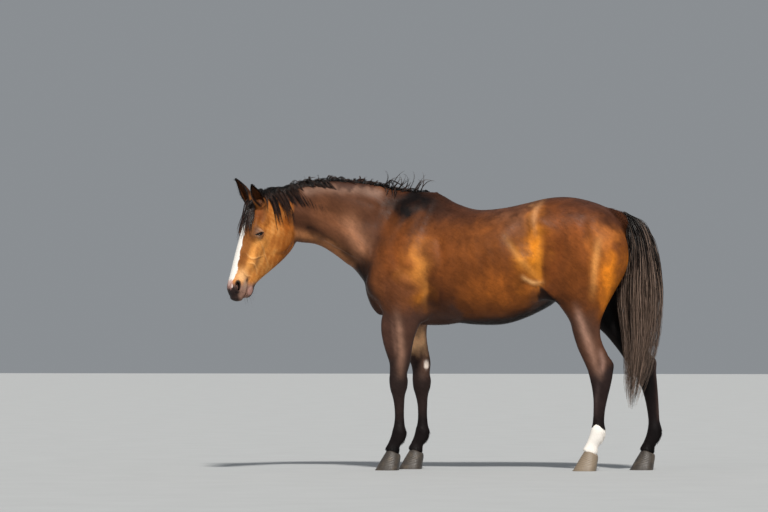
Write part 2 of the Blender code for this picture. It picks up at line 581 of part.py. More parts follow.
def flesh(name, forms, low, high, cell, triangles):
    """Mesh the forms, swing, thin to about the given count."""
    def field(q, margin=0.0):
        return evaluate(forms, q, margin)

    points, quads = nets(field, low, high, cell)
    points = bend(settle(field, points))
    mesh = bpy.data.meshes.new(name)
    mesh.from_pydata(points.tolist(), [], quads.tolist())
    ob = put(name, mesh)
    keep_largest(ob)
    thin = ob.modifiers.new("Thin", "DECIMATE")
    thin.ratio = min(1.0, triangles / (2 * len(ob.data.polygons)))
    thin.use_collapse_triangulate = True
    baked(ob)
    return ob


def islands(bm):
    bm.verts.ensure_lookup_table()
    seen, groups = set(), []
    for v in bm.verts:
        if v.index in seen:
            continue
        stack, group = [v], []
        seen.add(v.index)
        while stack:
            w = stack.pop()
            group.append(w)
            for e in w.link_edges:
                o = e.other_vert(w)
                if o.index not in seen:
                    seen.add(o.index)
                    stack.append(o)
        groups.append(group)
    return groups


def keep_largest(ob):
    bm = bmesh.new()
    bm.from_mesh(ob.data)
    groups = sorted(islands(bm), key=len)
    for group in groups[:-1]:
        bmesh.ops.delete(bm, geom=group, context="VERTS")
    bm.to_mesh(ob.data)
    bm.free()


def trim(ob, at, normal):
    """Cut flat at a plane, keeping the side the normal points away from, and close it."""
    bm = bmesh.new()
    bm.from_mesh(ob.data)
    geom = bm.verts[:] + bm.edges[:] + bm.faces[:]
    cut = bmesh.ops.bisect_plane(bm, geom=geom, plane_co=at, plane_no=normal, clear_outer=True)
    edges = [g for g in cut["geom_cut"] if isinstance(g, bmesh.types.BMEdge)]
    bmesh.ops.edgenet_fill(bm, edges=edges)
    bmesh.ops.dissolve_degenerate(bm, edges=bm.edges[:], dist=1e-5)
    bmesh.ops.recalc_face_normals(bm, faces=bm.faces[:])
    bm.to_mesh(ob.data)
    bm.free()


def inflated(ob, by):
    copy = put(ob.name + "_cutter", ob.data.copy())
    bm = bmesh.new()
    bm.from_mesh(copy.data)
    bm.normal_update()
    shift = {v: v.normal * by for v in bm.verts}
    for v, s in shift.items():
        v.co += s
    bm.to_mesh(copy.data)
    bm.free()
    return copy


def carve(ob, tools):
    for tool in tools:
        step = ob.modifiers.new("Cut", "BOOLEAN")
        step.operation = "DIFFERENCE"
        step.solver = "EXACT"
        step.object = tool
    baked(ob)
    for tool in tools:
        bpy.data.objects.remove(tool)
    bm = bmesh.new()
    bm.from_mesh(ob.data)
    bmesh.ops.remove_doubles(bm, verts=bm.verts[:], dist=0.000003)
    bmesh.ops.dissolve_degenerate(bm, edges=bm.edges[:], dist=0.000003)
    torn = [e for e in bm.edges if len(e.link_faces) == 1]
    if torn:
        bmesh.ops.holes_fill(bm, edges=torn, sides=0)
        bmesh.ops.recalc_face_normals(bm, faces=bm.faces[:])
    bm.to_mesh(ob.data)
    bm.free()


def slab(at, along, across, half_along, half_across, thick=GAP):
    """Thin sheet through a point, spanned by two directions."""
    u, v = Vector(along).normalized(), Vector(across).normalized()
    n = u.cross(v).normalized()
    turn = Matrix((u, n.cross(u), n)).transposed().to_4x4()
    bm = bmesh.new()
    bmesh.ops.create_cube(bm, size=1.0)
    bmesh.ops.scale(bm, vec=(2 * half_along, 2 * half_across, thick), verts=bm.verts[:])
    bmesh.ops.transform(bm, matrix=Matrix.Translation(at) @ turn, verts=bm.verts[:])
    mesh = bpy.data.meshes.new("slab")
    bm.to_mesh(mesh)
    bm.free()
    return put("slab", mesh)


def wall(y, corners, thick=GAP):
    """Thin upright sheet at one y whose outline is given in x, z."""
    bm = bmesh.new()
    ring = [bm.verts.new((x, y - thick / 2, z)) for x, z in corners]
    face_ = bm.faces.new(ring)
    moved = bmesh.ops.extrude_face_region(bm, geom=[face_])["geom"]
    top = [g for g in moved if isinstance(g, bmesh.types.BMVert)]
    bmesh.ops.translate(bm, verts=top, vec=(0, thick, 0))
    bmesh.ops.recalc_face_normals(bm, faces=bm.faces[:])
    mesh = bpy.data.meshes.new("wall")
    bm.to_mesh(mesh)
    bm.free()
    return put("wall", mesh)


def split(ob, name_of):
    """Loose parts of the object as objects of their own, named by their middle."""
    bm = bmesh.new()
    bm.from_mesh(ob.data)
    found = {}
    for group in islands(bm):
        middle = sum((v.co for v in group), Vector()) / len(group)
        name = name_of(middle)
        if name not in found or len(found[name]) < len(group):
            found[name] = [v.index for v in group]
    for name, members in found.items():
        part = bm.copy()
        part.verts.ensure_lookup_table()
        members = set(members)
        bmesh.ops.delete(part, geom=[v for v in part.verts if v.index not in members],
                         context="VERTS")
        mesh = bpy.data.meshes.new(name)
        part.to_mesh(mesh)
        part.free()
        put(name, mesh)
    bm.free()
    bpy.data.objects.remove(ob)
    return list(found)


body = flesh("body", body_forms() + head_forms()[:1], (-1.16, -0.40, -0.05),
             (1.30, 0.40, 1.74), 0.013, 4000)
head = flesh("head", body_forms()[:4] + head_forms(), (-1.42, -0.17, 0.93),
             (-0.74, 0.17, 1.70), 0.0075, 1400)

# head and neck part on a plane from behind the poll to behind the jaw
line = bend([(-1.035, 0, 1.66), (-0.868, 0, 1.25), (-1.035, 0.1, 1.66)])
top, low, side = (Vector(v) for v in line)
down, across = (low - top).normalized(), (side - top).normalized()
forward = down.cross(across).normalized()
if forward.x > 0:
    forward.negate()
middle = (top + low) / 2
for ob, way in ((body, forward), (head, -forward)):
    block = slab(middle + way * (0.35 - GAP / 2), down, across, 0.32, 0.35, 0.70)
    carve(ob, [block])
keep_largest(body)
keep_largest(head)

# flat soles
trim(body, Vector((0, 0, 0)), Vector((0, 0, -1)))

eyes = []
for name, side in (("eye_left", -1), ("eye_right", 1)):
    bm = bmesh.new()
    bmesh.ops.create_uvsphere(bm, u_segments=12, v_segments=8, radius=EYE_RADIUS)
    mesh = bpy.data.meshes.new(name)
    bm.to_mesh(mesh)
    bm.free()
    centre = bend([spot(28.3, 4.3, 7.9 * side)])[0]
    mesh.transform(Matrix.Translation(centre))
    eyes.append(put(name, mesh))
carve(head, [inflated(e, GAP) for e in eyes])
keep_largest(head)

# ears, mane, forelock and tail lie against the flesh
ears, ear_forms = [], []
for name, side, pose in (("ear_left", -1, (0.60, 0.42, 0.69, (0.0, 1.0))),
                         ("ear_right", 1, (0.47, 0.31, 0.83, (1.0, -0.1)))):
    form = ear_form(side, *pose)
    ear = flesh(name, [form], form.low - 0.01, form.high + 0.01, 0.0034, 340)
    carve(ear, [inflated(head, GAP)])
    keep_largest(ear)
    ears.append(ear)
    ear_forms.append(form)

crest = body_forms()[:4]


def mane_field(q):
    shell = evaluate(crest, q) - 0.015
    crest_z = np.interp(q[:, 0], [r[0] for r in NECK], [r[1] for r in NECK])
    hang = np.interp(q[:, 0], [-1.06, -0.95, -0.60, -0.28, -0.14], [0.10, 0.16, 0.16, 0.06, 0.015])
    side = np.maximum(-0.012 - q[:, 1], crest_z - hang - q[:, 2])
    ends = np.maximum(-1.07 - q[:, 0], q[:, 0] + 0.13)
    return np.maximum(np.maximum(shell, side), ends)


class Shape:
    """Wraps a plain field so it can be meshed."""

    def __init__(self, field, low, high):
        self.distance, self.low, self.high = field, np.array(low), np.array(high)
        self.blend, self.cut = 0.02, False


mane = flesh("mane", [Shape(mane_field, (-1.10, -0.10, 1.40), (-0.08, 0.20, 1.70))],
             (-1.12, -0.12, 1.38), (-0.06, 0.22, 1.72), 0.010, 270)
lock = Ball(spot(3, 8.0, 0.3), spot(26, 12.8, -3.0), 0.021, 0.026, 0.01)


def forelock_field(q):
    """The lock of hair, kept clear of both ears."""
    d = lock.distance(q)
    for ear in ear_forms:
        s = np.clip((q - ear.base) @ ear.t, -0.03, ear.length)
        off = np.linalg.norm(q - ear.base - s[:, None] * ear.t, axis=1)
        d = np.maximum(d, ear.radius + ear.thick * 1.5 + 0.003 - off)
    return d


forelock = flesh("forelock", [Shape(forelock_field, (-1.28, -0.09, 1.30), (-1.02, 0.07, 1.66))],
                 (-1.28, -0.09, 1.32), (-1.02, 0.07, 1.66), 0.006, 160)
carve(mane, [inflated(body, GAP), inflated(head, GAP)] + [inflated(e, 4 * GAP) for e in ears])
keep_largest(mane)
carve(forelock, [inflated(head, GAP), inflated(mane, GAP)])
keep_largest(forelock)

tail = flesh("tail", [Loft(TAIL, 0.012, 0.03, 0.02)], (0.95, -0.12, 0.28), (1.30, 0.12, 1.52),
             0.012, 460)
carve(tail, [inflated(body, GAP)])
keep_largest(tail)

# cut the body into its parts
INNER = 0.062
SLOPE = 0.552


def elbow_plane(x, y):
    return 0.84 + (-0.05 - x) * 0.45 + (y - INNER) * 0.3


cuts = []
cuts.append(slab((-0.29, 0, 1.32), (0.34, 0, 0.60), (0, 1, 0), 0.48, 0.45))
for side in (-1, 1):
    mid = (-0.25, side * 0.25, elbow_plane(-0.25, 0.25))
    cuts.append(slab(mid, (-1, 0, 0.45), (0, side, 0.3), 0.28, 0.20))
    cuts.append(wall(side * INNER, [(-0.52, 0.70), (0.0, 0.70),
                                    (0.0, elbow_plane(0.0, INNER) + GAP),
                                    (-0.52, elbow_plane(-0.52, INNER) + GAP)]))
cuts.append(slab((0.83, 0, 0.88 + 0.29 * SLOPE), (1, 0, SLOPE), (0, 1, 0), 0.38, 0.45))
cuts.append(wall(0.0, [(0.50, 0.60), (1.20, 0.60), (1.20, 0.88 + 0.66 * SLOPE),
                       (0.50, 0.88 - 0.04 * SLOPE)]))
for name, toe in TOE.items():
    y = STANCE_FORE if "fore" in name else STANCE_HIND
    y = -y if "left" in name else y
    cuts.append(slab((toe + 0.105, y, 0.094), (1, 0, -0.50), (0, 1, 0), 0.075, 0.08))
carve(body, cuts)


def part_name(m):
    if m.z < 0.13:
        return ("hoof_fore_" if m.x < 0.3 else "hoof_hind_") + ("left" if m.y < 0 else "right")
    if m.z < 0.95:
        if m.x < 0.1:
            return "foreleg_left" if m.y < 0 else "foreleg_right"
        if m.x > 0.55:
            return "hindleg_left" if m.y < 0 else "hindleg_right"
    return "neck" if m.x < -0.42 else "trunk"


names = split(body, part_name)

COAT = material("bay coat", (0.115, 0.040, 0.014), 0.45)
DARK = material("black points", (0.012, 0.008, 0.007), 0.45)
HAIR = material("black hair", (0.010, 0.007, 0.006), 0.5)
HORN = material("hoof horn", (0.035, 0.028, 0.024), 0.5)
EYE = material("wet eye", (0.012, 0.006, 0.004), 0.08)
LOOKS = {"eye": EYE, "mane": HAIR, "forelock": HAIR, "tail": HAIR, "hoof": HORN,
         "foreleg": DARK, "hindleg": DARK}
for ob in list(scene_root.objects):
    ob.data.transform(Matrix.Translation(-ORIGIN))
    ob.data.materials.clear()
    own = LOOKS.get(ob.name.split("_")[0], COAT).copy()
    own.name = ob.name + " surface"
    ob.data.materials.append(own)
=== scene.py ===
"""Bay mare at rest, dressed: one skin with its short coat, wet eyes, horn hooves and long hair.

She faces -X, +Z is up, her left side is -Y. Flesh is worked out in a straight pose, as sections
along trunk, neck, head and legs; then neck and head swing to her left. Marks of the coat, with
painted highlights and shade among them, are functions of the straight pose, so skin, tufts and
long hair all carry the same ones.
"""
import math
import bmesh
import bpy
import numpy as np
from mathutils import Matrix, Vector


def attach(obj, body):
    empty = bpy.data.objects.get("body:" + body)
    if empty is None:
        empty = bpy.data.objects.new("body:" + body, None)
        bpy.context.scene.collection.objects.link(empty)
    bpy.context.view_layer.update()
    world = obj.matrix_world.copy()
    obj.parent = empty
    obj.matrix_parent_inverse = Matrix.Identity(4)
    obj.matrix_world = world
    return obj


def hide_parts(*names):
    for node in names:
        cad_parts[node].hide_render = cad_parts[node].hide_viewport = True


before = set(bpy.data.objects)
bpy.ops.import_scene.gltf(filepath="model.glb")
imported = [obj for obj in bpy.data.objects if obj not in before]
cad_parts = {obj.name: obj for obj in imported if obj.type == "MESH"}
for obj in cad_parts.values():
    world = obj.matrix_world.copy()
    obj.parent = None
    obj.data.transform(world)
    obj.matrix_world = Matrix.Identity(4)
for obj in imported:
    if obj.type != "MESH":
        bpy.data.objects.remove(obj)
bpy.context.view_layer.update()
root_collection = bpy.context.scene.collection

WITHERS = 1.582          # height at the withers
HEAD_LEAN = math.radians(16.0)   # face line from the plumb
HEAD_COS, HEAD_SIN = math.cos(HEAD_LEAN), math.sin(HEAD_LEAN)
POLL_X, POLL_Z = -1.055, 1.600
NECK_TURN = math.radians(41.0)   # head and neck swing to the left
TURN_FROM, TURN_SPAN = -0.12, 0.80        # the swing starts here and is full this far on
SHOULDER_X, SHOULDER_Z = -0.10, 1.60      # neck in front of the plane through here swings
SHOULDER_WAY, SHOULDER_SOFT = (0.875, 0.483), 0.16
STANCE_FORE, STANCE_HIND = 0.125, 0.118   # half the distance between the legs of a pair
FAR_FORE_BACK = 0.10     # right foreleg stands this far behind the left
HOOF_LONG, HOOF_HALF = 0.135, 0.064      # length and half width on the ground
TOE = {   # x of each toe
    "hoof_fore_left": -0.378, "hoof_fore_right": -0.278,
    "hoof_hind_left": 0.750, "hoof_hind_right": 1.054}
EYES = (("eye_left", -1), ("eye_right", 1))
EYE_RADIUS = 0.021
FAR_OFF, TINY = 9.0, 1e-6                 # beyond anything here; next to nothing
ORIGIN = Vector((0.044, -0.140, 0.0))   # middle of the whole, on the floor


# ---- implicit forms ---------------------------------------------------------------------

def smooth_step(t):
    t = np.clip(t, 0.0, 1.0)
    return t * t * (3.0 - 2.0 * t)


def past(v, width):
    """Share on the far side of an edge at 0, softened over the width."""
    return smooth_step(v / width + 0.5)


def unit(rows, least=TINY):
    """Rows brought to length 1."""
    return rows / np.maximum(np.linalg.norm(rows, axis=1, keepdims=True), least)


def spline(rows, per_span):
    """Rows along the smooth curve through the given rows, per_span of them to each gap."""
    rows = np.asarray(rows, float)
    ext = np.vstack([2 * rows[0] - rows[1], rows, 2 * rows[-1] - rows[-2]])
    out = []
    for i in range(len(rows) - 1):
        p0, p1, p2, p3 = ext[i:i + 4]
        for t in np.arange(per_span) / per_span:
            out.append(0.5 * (2 * p1 + (p2 - p0) * t + (2 * p0 - 5 * p1 + 4 * p2 - p3) * t ** 2
                              + (3 * p1 - p0 - 3 * p2 + p3) * t ** 3))
    out.append(rows[-1])
    return np.array(out)


class Loft:
    """Stations of: front x, z; back x, z; middle y; half width; squareness front, back;
    share of the depth at which it is widest."""

    def __init__(self, stations, cap_start, cap_end, blend, per_span=5):
        rows = spline(stations, per_span)
        top = np.column_stack([rows[:, 0], rows[:, 4], rows[:, 1]])
        low = np.column_stack([rows[:, 2], rows[:, 4], rows[:, 3]])
        self.centre = top + (low - top) * rows[:, 8:9]
        depth = np.linalg.norm(top - low, axis=1)
        self.up = (top - low) / depth[:, None]
        self.rise = depth * rows[:, 8]
        self.fall = depth * (1 - rows[:, 8])
        self.half, self.e_up, self.e_down = rows[:, 5], rows[:, 6], rows[:, 7]
        self.caps, self.blend, self.cut = (cap_start, cap_end), blend, False
        reach = np.maximum(np.maximum(self.rise, self.fall), self.half).max() + max(self.caps)
        self.low, self.high = self.centre.min(0) - reach, self.centre.max(0) + reach
        run = np.gradient(self.centre, axis=0)
        along = run - (run * self.up).sum(1)[:, None] * self.up
        along[:, 1] = 0
        self.along = unit(along)

    def distance(self, q):
        """Signed distance to the nearest section, worked out near enough."""
        c, n = self.centre, len(self.centre) - 1
        best, over_end = np.full(len(q), 1e9), np.zeros(len(q))
        where, share = np.zeros(len(q), int), np.zeros(len(q))
        f0 = (q - c[0]) @ self.along[0]
        for i in range(n):
            f1 = (q - c[i + 1]) @ self.along[i + 1]
            hit = (f0 >= 0) & (f1 < 0)
            if i == 0:
                hit |= f0 < 0
            if i == n - 1:
                hit |= f1 >= 0
            k = np.flatnonzero(hit)
            a, b = f0[k], f1[k]
            t = np.clip(a / np.maximum(a - b, TINY), 0, 1)
            over = np.zeros(len(k))
            if i == 0:
                t[a < 0] = 0
                over = np.maximum(over, -a)
            if i == n - 1:
                t[b >= 0] = 1
                over = np.maximum(over, b)
            d2 = ((q[k] - c[i] - t[:, None] * (c[i + 1] - c[i])) ** 2).sum(1)
            near = d2 < best[k]
            k = k[near]
            best[k], where[k], share[k], over_end[k] = d2[near], i, t[near], over[near]
            f0 = f1
        lost = np.flatnonzero(best > 1e8)
        if len(lost):
            r = q[lost, None, :] - c[None]
            where[lost] = np.clip((r * r).sum(2).argmin(1), 0, n - 1)

        def at(a):
            return a[where] * (1 - share) + a[where + 1] * share

        share2 = share[:, None]
        centre = c[where] * (1 - share2) + c[where + 1] * share2
        up = self.up[where] * (1 - share2) + self.up[where + 1] * share2
        r = q - centre
        v = (r * up).sum(1)
        b = np.where(v > 0, at(self.rise), at(self.fall))
        e = np.where(v > 0, at(self.e_up), at(self.e_down))
        a, cap = at(self.half), np.where(where < n / 2, self.caps[0], self.caps[1])
        pu, pv, pw = np.abs(r[:, 1]) / a + TINY, np.abs(v) / b + TINY, over_end / cap
        k = (pu ** e + pv ** e + pw ** e) ** (1 / e)
        g = np.sqrt((pu ** (e - 1) / a) ** 2 + (pv ** (e - 1) / b) ** 2
                    + (np.maximum(pw, TINY) ** (e - 1) / cap * (pw > 0)) ** 2)
        return (k - 1) * k ** (e - 1) / np.maximum(g, TINY)


class Ball:
    """Ellipsoid from end a to end b with half sizes across it; cut takes it away."""

    def __init__(self, a, b, deep, wide, blend, cut=False):
        a, b = np.array(a, float), np.array(b, float)
        self.centre = (a + b) / 2
        length = np.linalg.norm(b - a)
        t = (b - a) / length
        side = np.array([0.0, 1.0, 0.0])
        side = side - t * (side @ t)
        side /= np.linalg.norm(side)
        self.axes = np.array([t, np.cross(t, side), side])
        self.radii = np.array([length / 2, deep, wide])
        self.blend, self.cut = blend, cut
        reach = np.abs(self.axes.T) @ self.radii
        self.low, self.high = self.centre - reach, self.centre + reach

    def distance(self, q):
        p = (q - self.centre) @ self.axes.T
        k0 = np.sqrt(((p / self.radii) ** 2).sum(1))
        k1 = np.sqrt(((p / self.radii ** 2) ** 2).sum(1))
        return k0 * (k0 - 1) / np.maximum(k1, TINY)


class Rod:
    """Round-ended tube through points of x, y, z, radius."""

    def __init__(self, points, blend):
        self.rows = spline(points, 4)
        self.blend, self.cut = blend, False
        self.low = (self.rows[:, :3] - self.rows[:, 3:]).min(0)
        self.high = (self.rows[:, :3] + self.rows[:, 3:]).max(0)

    def distance(self, q):
        best = np.full(len(q), FAR_OFF)
        for p, n in zip(self.rows, self.rows[1:]):
            run, r = n[:3] - p[:3], q - p[:3]
            t = np.clip((r @ run) / (run @ run), 0, 1)
            d = np.sqrt(((r - t[:, None] * run) ** 2).sum(1)) - (p[3] + (n[3] - p[3]) * t)
            best = np.minimum(best, d)
        return best


class Ear:
    """Leaf rolled into a cup that opens one way."""

    def __init__(self, base, way, opens, length, radius, thick):
        self.base, self.length, self.radius, self.thick = base, length, radius, thick
        self.t = way / np.linalg.norm(way)
        o = opens - self.t * (opens @ self.t)
        self.o = o / np.linalg.norm(o)
        self.u = np.cross(self.t, self.o)
        self.blend, self.cut = 0.012, False
        ends = np.array([base, base + self.t * length])
        self.low, self.high = ends.min(0) - radius * 1.4, ends.max(0) + radius * 1.4

    def section(self, k):
        """Radius and half angle of the rolled leaf."""
        stops = [0, 0.15, 0.4, 0.6, 0.78, 0.9, 1]
        return (self.radius * np.interp(k, stops, [0.80, 0.92, 1.0, 0.88, 0.62, 0.40, 0.16]),
                np.interp(k, [0, 0.25, 0.5, 0.8, 1], [2.7, 2.15, 1.7, 1.2, 0.9]))

    def distance(self, q):
        r = q - self.base
        s = r @ self.t / self.length
        k = np.clip(s, 0, 1)
        u, w = np.abs(r @ self.u), r @ self.o
        big, reach = self.section(k)
        thick = self.thick * np.interp(k, [0, 0.3, 1], [1.5, 1.0, 1.0])
        ring = np.abs(np.hypot(u, w) - big)
        rim = np.hypot(u - big * np.sin(reach), w + big * np.cos(reach))
        d = np.where(np.arctan2(u, -w) < reach, ring, rim)
        over = np.maximum(np.maximum(-s, s - 1), 0) * self.length
        return np.hypot(d, over) - thick

    def parts_of(self, q):
        """Share of belonging to the ear, of lying within its cup, and how far from its edge."""
        r = q - self.base
        k = r @ self.t / self.length
        u, w = np.abs(r @ self.u), r @ self.o
        big, reach = self.section(np.clip(k, 0, 1))
        rim = np.hypot(u - big * np.sin(reach), w + big * np.cos(reach))
        near = smooth_step((self.radius * 1.5 - np.hypot(u, w)) / 0.008) * (k > 0.05) * (k < 1.1)
        return near, (np.hypot(u, w) < big) * 1.0, rim


class Sided:
    """Acts on both sides (0), her right (1) or her left (-1); forms are given for +Y."""

    def __init__(self, form, side):
        self.form, self.side, self.blend, self.cut = form, side, form.blend, form.cut
        self.low, self.high = form.low.copy(), form.high.copy()
        if side == 0:
            self.low[1] = -form.high[1]
        if side < 0:
            self.low[1], self.high[1] = -form.high[1], -form.low[1]

    def distance(self, q):
        q = q.copy()
        q[:, 1] = np.abs(q[:, 1]) if self.side == 0 else q[:, 1] * self.side
        return self.form.distance(q)


def evaluate(forms, q, margin=0.0):
    """Forms joined softly, or taken away if they cut, one after another; negative inside."""
    q = np.asarray(q, float)
    d = np.full(len(q), FAR_OFF)
    for form in forms:
        pad = form.blend + margin
        near = ((q > form.low - pad) & (q < form.high + pad)).all(1)
        k = np.flatnonzero(near)
        if len(k):
            old = -d[k] if form.cut else d[k]
            new, soft = form.distance(q[k]), form.blend
            h = np.maximum(soft - np.abs(old - new), 0) / soft
            m = np.minimum(old, new) - h * h * soft / 4
            d[k] = -m if form.cut else m
    return d


# ---- the mare ---------------------------------------------------------------------------

def face(a, n):
    """Centimetres down the face and in front of the poll, to x and z in metres."""
    return (POLL_X - (a * HEAD_SIN + n * HEAD_COS) / 100,
            POLL_Z - (a * HEAD_COS - n * HEAD_SIN) / 100)


def head_place(p):
    """Down the face, in front of the poll and to the side, in cm."""
    dx, dz = (POLL_X - p[:, 0]) * 100, (POLL_Z - p[:, 2]) * 100
    return HEAD_SIN * dx + HEAD_COS * dz, HEAD_COS * dx - HEAD_SIN * dz, p[:, 1] * 100


def ahead_of_cheek(x, z, at=-0.868):
    """Metres in front of the edge of the cheek, where the coat of the head begins."""
    return at - 0.407 * (z - 1.25) - x


def spot(a, n, side):
    """As face, with centimetres to her right; a point."""
    x, z = face(a, n)
    return np.array([x, side / 100, z])


TRUNK = [   # front x, z; back x, z; half width; squareness in front; widest share
    (-0.36, 1.34, -0.37, 1.00, 0.140, 2.0, 0.55),
    (-0.28, 1.47, -0.30, 0.895, 0.190, 1.8, 0.58),
    (-0.17, 1.555, -0.19, 0.850, 0.225, 1.6, 0.60),
    (-0.04, WITHERS, -0.04, 0.842, 0.243, 1.5, 0.60),
    (0.08, 1.523, 0.08, 0.838, 0.268, 1.8, 0.57),
    (0.20, 1.488, 0.20, 0.827, 0.292, 2.1, 0.54),
    (0.34, 1.496, 0.34, 0.829, 0.300, 2.25, 0.52),
    (0.47, 1.522, 0.46, 0.862, 0.285, 2.3, 0.49),
    (0.60, 1.552, 0.58, 0.918, 0.262, 2.2, 0.45),
    (0.72, 1.558, 0.69, 0.985, 0.248, 2.1, 0.42),
    (0.84, 1.535, 0.80, 1.030, 0.232, 2.1, 0.40),
    (0.95, 1.492, 0.90, 1.060, 0.190, 2.1, 0.42),
    (1.02, 1.440, 0.99, 1.120, 0.125, 2.1, 0.45),
]
NECK = [   # the same, poll to withers
    (-1.085, 1.575, -1.00, 1.40, 0.048, 2.0, 0.50),
    (-1.00, 1.602, -0.905, 1.32, 0.064, 1.8, 0.52),
    (-0.90, 1.623, -0.842, 1.304, 0.072, 1.6, 0.56),
    (-0.78, 1.646, -0.752, 1.300, 0.079, 1.5, 0.60),
    (-0.65, 1.654, -0.664, 1.262, 0.088, 1.45, 0.62),
    (-0.53, 1.650, -0.582, 1.208, 0.100, 1.45, 0.64),
    (-0.41, 1.636, -0.505, 1.135, 0.118, 1.45, 0.66),
    (-0.29, 1.608, -0.445, 1.055, 0.145, 1.5, 0.68),
    (-0.17, 1.592, -0.37, 0.98, 0.172, 1.5, 0.68),
    (-0.05, 1.575, -0.30, 0.900, 0.190, 1.6, 0.66),
]
HEAD = [   # down the face and off it in cm: brow side, jaw side; half width in cm
    (0, 0.5, 16, -22, 5.6, 2.0, 2.2, 0.35),
    (8, 6.6, 24, -24.5, 6.6, 2.1, 2.4, 0.40),
    (15, 9.8, 29.5, -23.2, 7.4, 2.3, 2.4, 0.42),
    (22, 10.8, 33.5, -21.2, 7.6, 2.4, 2.3, 0.40),
    (29, 10.9, 37.5, -18.8, 7.0, 2.3, 2.3, 0.42),
    (36, 10.7, 41.5, -16.1, 6.1, 2.2, 2.3, 0.45),
    (42, 10.5, 45.8, -13.0, 5.3, 2.2, 2.2, 0.46),
    (48, 10.4, 50.0, -9.2, 4.8, 2.2, 2.2, 0.48),
    (54, 10.7, 54.5, -6.0, 4.8, 2.3, 2.2, 0.45),
    (59, 11.0, 59.0, -4.8, 5.2, 2.4, 2.2, 0.42),
    (63.5, 9.6, 62.6, -3.2, 4.9, 2.4, 2.2, 0.45),
    (66, 7.5, 65.2, 0.5, 3.8, 2.2, 2.2, 0.5),
]
FORELEG = [   # stations as Loft says, top of the shoulder blade down to the coronet
    (-0.24, 1.480, -0.115, 1.470, 0.070, 0.030, 2, 2, 0.5),
    (-0.312, 1.385, -0.075, 1.365, 0.100, 0.058, 2, 2, 0.5),
    (-0.370, 1.27, -0.05, 1.24, 0.123, 0.079, 2, 2, 0.5),
    (-0.405, 1.15, -0.04, 1.11, 0.138, 0.087, 2, 2, 0.5),
    (-0.400, 1.04, -0.05, 1.00, 0.146, 0.086, 2, 2, 0.5),
    (-0.360, 0.955, -0.070, 0.93, 0.147, 0.079, 2, 2, 0.5),
    (-0.333, 0.895, -0.098, 0.875, 0.145, 0.072, 2.0, 2.0, 0.5),
    (-0.320, 0.840, -0.120, 0.825, 0.142, 0.066, 2.0, 2.0, 0.48),
    (-0.310, 0.775, -0.143, 0.765, 0.137, 0.058, 2.0, 2.0, 0.46),
    (-0.303, 0.705, -0.160, 0.700, 0.132, 0.050, 2.0, 2.0, 0.45),
    (-0.297, 0.625, -0.172, 0.615, 0.128, 0.043, 2.0, 2.0, 0.46),
    (-0.296, 0.560, -0.190, 0.550, 0.126, 0.040, 2.2, 2.0, 0.45),
    (-0.298, 0.515, -0.186, 0.510, 0.125, 0.044, 2.5, 2.0, 0.42),
    (-0.293, 0.465, -0.190, 0.470, 0.125, 0.043, 2.5, 2.0, 0.42),
    (-0.279, 0.415, -0.203, 0.425, 0.125, 0.033, 2.2, 2.0, 0.45),
    (-0.270, 0.365, -0.207, 0.370, 0.125, 0.0265, 2.0, 2.0, 0.42),
    (-0.267, 0.305, -0.208, 0.305, 0.125, 0.0245, 2.0, 2.0, 0.42),
    (-0.272, 0.258, -0.203, 0.250, 0.125, 0.029, 2.1, 2.0, 0.45),
    (-0.280, 0.228, -0.194, 0.212, 0.125, 0.0345, 2.2, 2.0, 0.45),
    (-0.288, 0.195, -0.205, 0.170, 0.125, 0.0320, 2.2, 2.0, 0.45),
    (-0.302, 0.160, -0.232, 0.138, 0.125, 0.0285, 2.1, 2.0, 0.45),
    (-0.323, 0.122, -0.236, 0.095, 0.125, 0.036, 2.2, 2.2, 0.45),
]
QUARTER = [   # hip to the thigh, the same on both sides
    (0.64, 1.43, 0.96, 1.42, 0.100, 0.090, 2, 2, 0.5),
    (0.59, 1.31, 1.050, 1.31, 0.118, 0.122, 2, 2, 0.48),
    (0.585, 1.20, 1.068, 1.21, 0.128, 0.132, 2, 2, 0.46),
]
HIND_ROUND = [   # half width; squareness front, back; share: thigh down to the coronet
    (0.1300, 2, 2, 0.45), (0.1170, 2, 2, 0.45), (0.0850, 2, 2, 0.45), (0.0640, 2, 2, 0.45),
    (0.0520, 2, 1.9, 0.42), (0.0430, 2, 1.8, 0.38), (0.0380, 2.2, 1.8, 0.38),
    (0.0380, 2.4, 1.8, 0.40), (0.0400, 2.4, 1.8, 0.40), (0.0360, 2.3, 1.9, 0.42),
    (0.0290, 2.1, 2.0, 0.45), (0.0265, 2.0, 2.0, 0.45), (0.0280, 2.0, 2.0, 0.45),
    (0.0350, 2.2, 2.0, 0.45), (0.0325, 2.2, 2.0, 0.45), (0.0290, 2.1, 2.0, 0.45),
    (0.0360, 2.2, 2.2, 0.45),
]
HIND_LEFT = [   # front x, z; back x, z; middle y
    (0.592, 1.100, 1.045, 1.110, 0.131), (0.630, 1.000, 0.992, 1.010, 0.134),
    (0.685, 0.925, 0.947, 0.925, 0.142), (0.734, 0.850, 0.917, 0.845, 0.142),
    (0.754, 0.775, 0.914, 0.770, 0.135), (0.777, 0.700, 0.932, 0.705, 0.128),
    (0.808, 0.630, 0.962, 0.650, 0.120), (0.832, 0.575, 0.985, 0.600, 0.116),
    (0.846, 0.525, 0.981, 0.540, 0.114), (0.859, 0.465, 0.968, 0.475, 0.114),
    (0.866, 0.405, 0.952, 0.410, 0.115), (0.866, 0.340, 0.938, 0.340, 0.116),
    (0.863, 0.280, 0.934, 0.275, 0.117), (0.854, 0.240, 0.942, 0.222, 0.118),
    (0.844, 0.200, 0.930, 0.176, 0.118), (0.828, 0.160, 0.900, 0.140, 0.118),
    (0.806, 0.122, 0.894, 0.095, 0.118),
]
